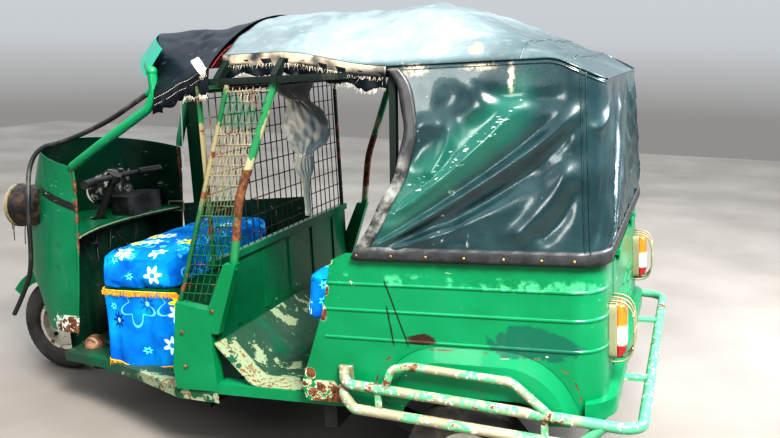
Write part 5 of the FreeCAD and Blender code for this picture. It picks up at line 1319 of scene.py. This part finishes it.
jag = pot.noise(26.0, 5, 0.65)
base = pot.mix(jag.rise(0.44, 0.66), (0.010, 0.009, 0.009), (0.060, 0.034, 0.020))
rim_mask = pot_x.rise(1.928, 1.932) * jag.rise(0.32, 0.45)
base = pot.mix(rim_mask, base, (0.20, 0.17, 0.11))
right_pot = pot.mix(jag.rise(0.5, 0.6), (0.02, 0.02, 0.02), (0.30, 0.30, 0.28))
base = pot.mix(below(pot_y, 0.0, 0.02), base, right_pot)
pot.feed("Base Color", base)
pot.bump(jag, 0.002, 0.7)
dress(pot, "headlamp_buckets")

# %% [markdown]
# ## Tyres with a tread
# A tyre is a surface of revolution whose tread rows are pushed in at the grooves. The
# pattern is a function of the angle round the wheel and the way across it: three ribs with
# zigzag grooves between them and sipes from the shoulders.

# %% Tyres
TYRE_PROFILE = np.array([(116.5, -38), (124, -46), (138, -49.5), (158, -49.8), (176, -48), (190, -43.5), (200, -37),
                         (204.5, -28), (205.5, -14), (205.8, 0)], float)
BLOCKS, WALL_LENGTH = 52, 84.0  # tread blocks round the wheel, millimetres of profile up each wall


def tyre_mesh(node, body):
    """Replace a CAD tyre by a treaded ring round its own axle."""
    centre = middle_of(node)
    profile = np.concatenate([TYRE_PROFILE, TYRE_PROFILE[-2::-1] * (1, -1)])
    length = np.concatenate([[0], np.cumsum(np.linalg.norm(np.diff(profile, axis=0), axis=1))])
    wall, end = WALL_LENGTH, length[-1]
    fine = np.concatenate([np.linspace(0, wall, 13)[:-1], np.linspace(wall, end - wall, 43),
                           np.linspace(end - wall, end, 13)[1:]])
    r, w = np.interp(fine, length, profile[:, 0]), np.interp(fine, length, profile[:, 1])
    rings, turns = len(fine), 6 * BLOCKS
    angle = np.linspace(0, 2 * math.pi, turns, endpoint=False)[:, None]
    pitch = angle * BLOCKS / (2 * math.pi)
    r2, w2 = np.broadcast_to(r, (turns, rings)), np.broadcast_to(w, (turns, rings))
    zigzag = 2.6 * np.abs((2 * pitch) % 2 - 1)
    groove = sum(np.exp(-(((w2 - side - zigzag) / 2.0) ** 4)) for side in (-15.5, 13.0))
    sipe = (np.abs(pitch % 1 - 0.5) < 0.10) * (np.abs(w2) > 24) * (r2 > 192)
    depth = 4.2 * np.clip(groove, 0, 1) * (r2 > 198) + 3.0 * sipe
    ridge = 0.7 * np.sin(r2 * 0.3) * (r2 < 186) * (r2 > 122)
    radius = (r2 - depth) / 1000
    width = (w2 + np.sign(w2) * ridge) / 1000
    points = centre + np.stack([radius * np.cos(angle), width, radius * np.sin(angle)], -1)
    index = np.arange(turns * rings).reshape(turns, rings)
    ahead = np.roll(index, -1, 0)
    faces = np.stack([index[:, :-1], ahead[:, :-1], ahead[:, 1:], index[:, 1:]], -1).reshape(-1, 4)
    closing = np.stack([index[:, -1], ahead[:, -1], ahead[:, 0], index[:, 0]], -1)
    made = new_mesh(node + "_treaded", points, np.concatenate([faces, closing]))
    settle(made.data)
    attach(made, body)
    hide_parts(node)
    return made.name


treaded = [tyre_mesh("tyre_front", "front_wheel"), tyre_mesh("tyre_rear_left", "rear_left_wheel"),
           tyre_mesh("tyre_rear_right", "rear_right_wheel")]
tyre_rubber = Finish("tyre", rough=0.75)
mud = tyre_rubber.noise(7.0, 6, 0.65)
tyre_rubber.feed("Base Color", tyre_rubber.ramp(mud, (0.35, (0.012, 0.012, 0.012)), (0.62, (0.06, 0.055, 0.05)),
                                                (0.80, (0.20, 0.17, 0.13))))
tyre_rubber.bump(tyre_rubber.noise(150.0, 3), 0.0006, 0.5)
dress(tyre_rubber, *treaded)
wheel = Finish("wheel_paint", rough=0.5, metal=0.2)
wheel_jag = wheel.noise(20.0, 6, 0.65)
wheel.feed("Base Color", wheel.ramp(wheel_jag, (0.35, (0.40, 0.38, 0.33)), (0.56, (0.55, 0.53, 0.46)),
                                    (0.60, (0.20, 0.085, 0.035)), (0.80, (0.06, 0.03, 0.015))))
wheel.bump(wheel_jag, 0.001, 0.5)
dress(wheel, "rim_front", "rim_rear_left", "rim_rear_right")

NUT_CIRCLE, NUT_RADIUS, NUT_FOOT, NUT_HIGH = 0.088, 0.009, 0.0025, 0.010  # metres
turn6 = np.linspace(0, 2 * math.pi, 6, endpoint=False)
for node, body in (("rim_front", "front_wheel"), ("rim_rear_left", "rear_left_wheel"),
                   ("rim_rear_right", "rear_right_wheel")):
    points, faces = [], []
    for s in (1, -1):
        for a in math.pi / 4 + np.arange(4) * math.pi / 2:
            middle = middle_of(node) + (NUT_CIRCLE * math.cos(a), s * NUT_FOOT, NUT_CIRCLE * math.sin(a))
            ring_a = middle + NUT_RADIUS * np.stack([np.cos(turn6), 0 * turn6, np.sin(turn6)], -1)
            faces += drum_faces(6 * len(points), 6, 2)
            points += [ring_a, ring_a + (0, s * NUT_HIGH, 0)]
    nuts = new_mesh(node + "_nuts", np.concatenate(points), faces, False)
    settle(nuts.data)
    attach(nuts, body)
    dress(paints["black_steel"], nuts.name)

# %% [markdown]
# ## Small things
# The dash shelf has a worn bright lip and a small frame for a lamp that is gone. Loose
# wires hang under it as parabolas with a little sideways wander. Three more come out of the
# broken headlamp: they go forward as a sine and fall as a power of the way along.

# %% Lip, frame and wires
SHELF_Z = 822.0
lip_line = arc_points((1589, 338, SHELF_Z - 8), (1665, 0, SHELF_Z - 8), (1589, -338, SHELF_Z - 8), 60)
lip_edge = tubes("shelf_lip", [lip_line], 4.0, 8)
corner = np.array([(1640, -330, 842), (1562, -330, 842), (1562, -330, 800), (1640, -330, 800), (1640, -330, 842)])
frame_line = np.concatenate([np.linspace(a, b, 8)[:-1] for a, b in zip(corner[:-1], corner[1:])] + [corner[-1:]])
lamp_frame = tubes("dash_lamp_frame", [frame_line], 3.5, 8, ref=(0.0, 1.0, 0.0))

WIRES = (  # start, end, sag, sideways wander
    ((1700, 150, 804), (1690, 20, 804), 95, 22), ((1712, 60, 804), (1700, -90, 804), 70, -26),
    ((1690, 210, 804), (1700, 100, 804), 130, 18), ((1724, -20, 804), (1706, -180, 804), 110, 24),
    ((1700, 110, 804), (1712, -60, 804), 165, -20), ((1716, 190, 804), (1724, 60, 804), 60, 30))
step = np.linspace(0, 1, 60)[:, None]


def hang_wire(name, line, radius, ref):
    """A loose wire along a body-frame line, as one round tube."""
    wire = tubes(name, [line], radius, 6, ref=ref)


for number, (start, end, sag, wander) in enumerate(WIRES):
    start, end = np.array(start, float), np.array(end, float)
    line = start * (1 - step) + end * step
    line[:, 2:] -= 4 * sag * step * (1 - step)
    line[:, :1] -= wander * np.sin(np.pi * step) - 5 * np.sin(9 * step)
    hang_wire(f"dash_wire_{number + 1}", line, 2.0, (1.0, 0.2, 0.1))

# A lamp wire starts on the pot's back wall, leaves the mouth above the rim and falls in front of it.
LAMP_WIRES = (  # start, reach, bend
    ((1801.5, 250, 935), (158, 34, -150), 0.9), ((1801.5, 236, 925), (166, -14, -170), -0.8),
    ((1801.5, 262, 945), (152, 30, -110), 0.6))
for number, (start, reach, bend) in enumerate(LAMP_WIRES):
    start, reach = np.array(start, float), np.array(reach, float)
    t = step[:, 0]
    line = start + np.column_stack([reach[0] * np.sin(1.57 * t), reach[1] * t + 12 * bend * np.sin(3.1 * t),
                                    reach[2] * t ** 2.6])
    hang_wire(f"lamp_wire_{number + 1}", line, 1.8, (0.1, 1.0, 0.1))

# %% [markdown]
# ## Tail lamps
# Each lamp is a rounded plate, a bulged lens and a cage of welded wires. All three are powers
# of u across and v up, which run from -1 to 1 over the lamp.

# %% Bulged lenses and bowed cages
LAMP_Y, LAMP_Z, LENS_X, CAGE_X = 464, 620, -422.4, -402


def bulged_lens(name, sides):
    """Two lenses. With u across and v up, each from -1 to 1, the depth is 27 (1 - u^4)^0.4 (1 - v^6)^0.4."""
    u, v = np.meshgrid(np.sin(np.linspace(-1.5708, 1.5708, 34)), np.sin(np.linspace(-1.5708, 1.5708, 60)))
    depth = 27 * np.clip(1 - u ** 4, 0, 1) ** 0.4 * np.clip(1 - v ** 6, 0, 1) ** 0.4
    parts, faces = [], []
    for s in sides:
        for x in (LENS_X - depth, np.full_like(depth, LENS_X)):
            faces.append(grid_faces(*u.shape, u.size * len(parts)))
            parts.append(np.stack([x, s * (LAMP_Y + 38 * u), LAMP_Z + 79 * v], -1).reshape(-1, 3))
    made = new_mesh(name, to_row(np.concatenate(parts)), np.concatenate(faces))
    settle(made.data, 1e-5)
    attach(made, "body")
    return made


def bowed_cages(name):
    """Wires welded in a bow: x = -402 - 68 (1 - |v|^3.2)^(1/3.2), with z or y running along the wire."""
    v = np.sin(np.linspace(-1.5708, 1.5708, 50))
    bow = np.clip(1 - np.abs(v) ** 3.2, 0, 1) ** (1 / 3.2)
    bent = 2.5 * np.sin(2.2 * v + 0.6)
    runs = []
    for s in (1, -1):
        for y in (427, 464, 501):
            runs.append(np.column_stack([CAGE_X - 68 * bow, s * (y + bent * (1 if s > 0 else -0.6)),
                                         LAMP_Z + 92 * v]))
        for z in (572, 622, 668):
            edge_x = CAGE_X - 68 * (1 - abs((z - LAMP_Z) / 92) ** 3.2) ** (1 / 3.2)
            runs.append(np.column_stack([edge_x + 3 - 4 * bow, s * (LAMP_Y + 40 * v + bent[25]), z + 1.5 * bent]))
    return tubes(name, runs, 3.0, 8, ref=(0.2, 0.1, 0.05))


plates, plate_faces = [], []
round_plate = np.linspace(0, 2 * math.pi, 96, endpoint=False)
outline_y = np.sign(np.cos(round_plate)) * np.abs(np.cos(round_plate)) ** 0.35 * 43
outline_z = np.sign(np.sin(round_plate)) * np.abs(np.sin(round_plate)) ** 0.25 * 84
for s in (1, -1):
    plate_faces += drum_faces(96 * len(plates), 96, 3)
    for reach, grow in ((-400.4, 1.0), (-419.0, 1.0), (-422.0, 0.965)):
        plates.append(np.stack([np.full(96, reach), s * (LAMP_Y + outline_y * grow), LAMP_Z + outline_z * grow], -1))
lamp_plates = new_mesh("tail_lamp_plates", to_row(np.concatenate(plates)), plate_faces, False)
settle(lamp_plates.data)
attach(lamp_plates, "body")
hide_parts("tail_lamp_housings")
cages = bowed_cages("tail_lamp_cages")
lenses = bulged_lens("tail_lamp_glass", (1, -1))
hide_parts("tail_lamp_lenses")
dress(signal, "tail_lamp_glass")
dress(paints["cage_paint"], "tail_lamp_plates", "tail_lamp_cages")

# %% Thin wires of the side grille
def post_face(z):
    """Front face of the B-post's tube at height z, in three straight parts."""
    upper = np.where(z < 1010, 783 - 0.161 * (z - 780), 741 - 0.41 * (z - 1010))
    return np.where(z < 790, 830 - 0.45 * (z - 690), upper)


GRILLE_X, GRILLE_Y, LEAN = 1000, 563.0, -250.0 / 709.7
thin_z = 690 + 66.0 * (np.arange(10) + 0.5)
runs = [np.array([(GRILLE_X - x + LEAN * rise, GRILLE_Y, 664 + rise) for rise in (0, 340, 692)])
        for x in (12, 36, 60, 84, 108)]
runs += [np.array([(post_face(z), GRILLE_Y + 3, z), (GRILLE_X + LEAN * (z - 662), GRILLE_Y + 3, z)]) for z in thin_z]
thin_wires = tubes("side_grille_thin_wires", runs, 1.4, 6, ref=(0.1, 1.0, 0.05))
dress(paints["wire_paint"], "side_grille_thin_wires")

# %% [markdown]
# ## Bolts
# A bolt head is a six-sided prism with a chamfered top on a round washer. All bolts of one
# plate are one object.

# %% Bolts
def bolts(name, places, outward_to, radius, height):
    """Hexagon heads on washers at body-frame places, each standing along outward_to."""
    axis = np.asarray(outward_to, float) / np.linalg.norm(outward_to)
    u = np.cross(axis, (0.31, 0.95, 0.05) if abs(axis[1]) < 0.9 else (1.0, 0.1, 0.0))
    u /= np.linalg.norm(u)
    w = np.cross(axis, u)
    rings = ((1.75, 0.0, 24), (1.75, 0.18, 24), (1.02, 0.18, 6), (1.02, 0.82, 6), (0.84, 1.0, 6))
    points, faces = [], []
    for number, place in enumerate(np.asarray(places, float)):
        for grow, lift_by, sides in rings:
            turn = np.linspace(0, 2 * math.pi, sides, endpoint=False)[:, None]
            points.append(place + axis * height * lift_by + radius * grow * (np.cos(turn) * u + np.sin(turn) * w))
        start = number * sum(sides for _, _, sides in rings)
        faces += drum_faces(start, 24, 2) + drum_faces(start + 2 * 24, 6, 3)
    made = new_mesh(name, to_row(np.concatenate(points)), faces, False)
    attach(made, "body")
    return name


rusty = mottled("rusty_steel", 0.7, 60.0, 4, ((0.35, (0.05, 0.025, 0.014)), (0.65, (0.24, 0.13, 0.07))), metal=0.4,
                relief=(200.0, 3, 0.0005, 0.6))
dress(rusty, bolts("bracket_bolts", [(378, 643.5, 484), (378, -643.5, 484)], (0, 1, 0), 6.5, 7),
      bolts("post_bolts", [(985, 595.5, 560), (985, 595.5, 440), (862, 595.5, 640)], (0, 1, 0), 4.5, 4))
dress(paints["cage_paint"], "shelf_lip", "dash_lamp_frame")
wire_black = mottled("wire_black", 0.5, 30.0, 2, ((0.4, (0.008, 0.008, 0.009)), (0.7, (0.05, 0.045, 0.04))))
dress(wire_black, *[f"dash_wire_{k}" for k in range(1, 7)], *[f"lamp_wire_{k}" for k in range(1, 4)])
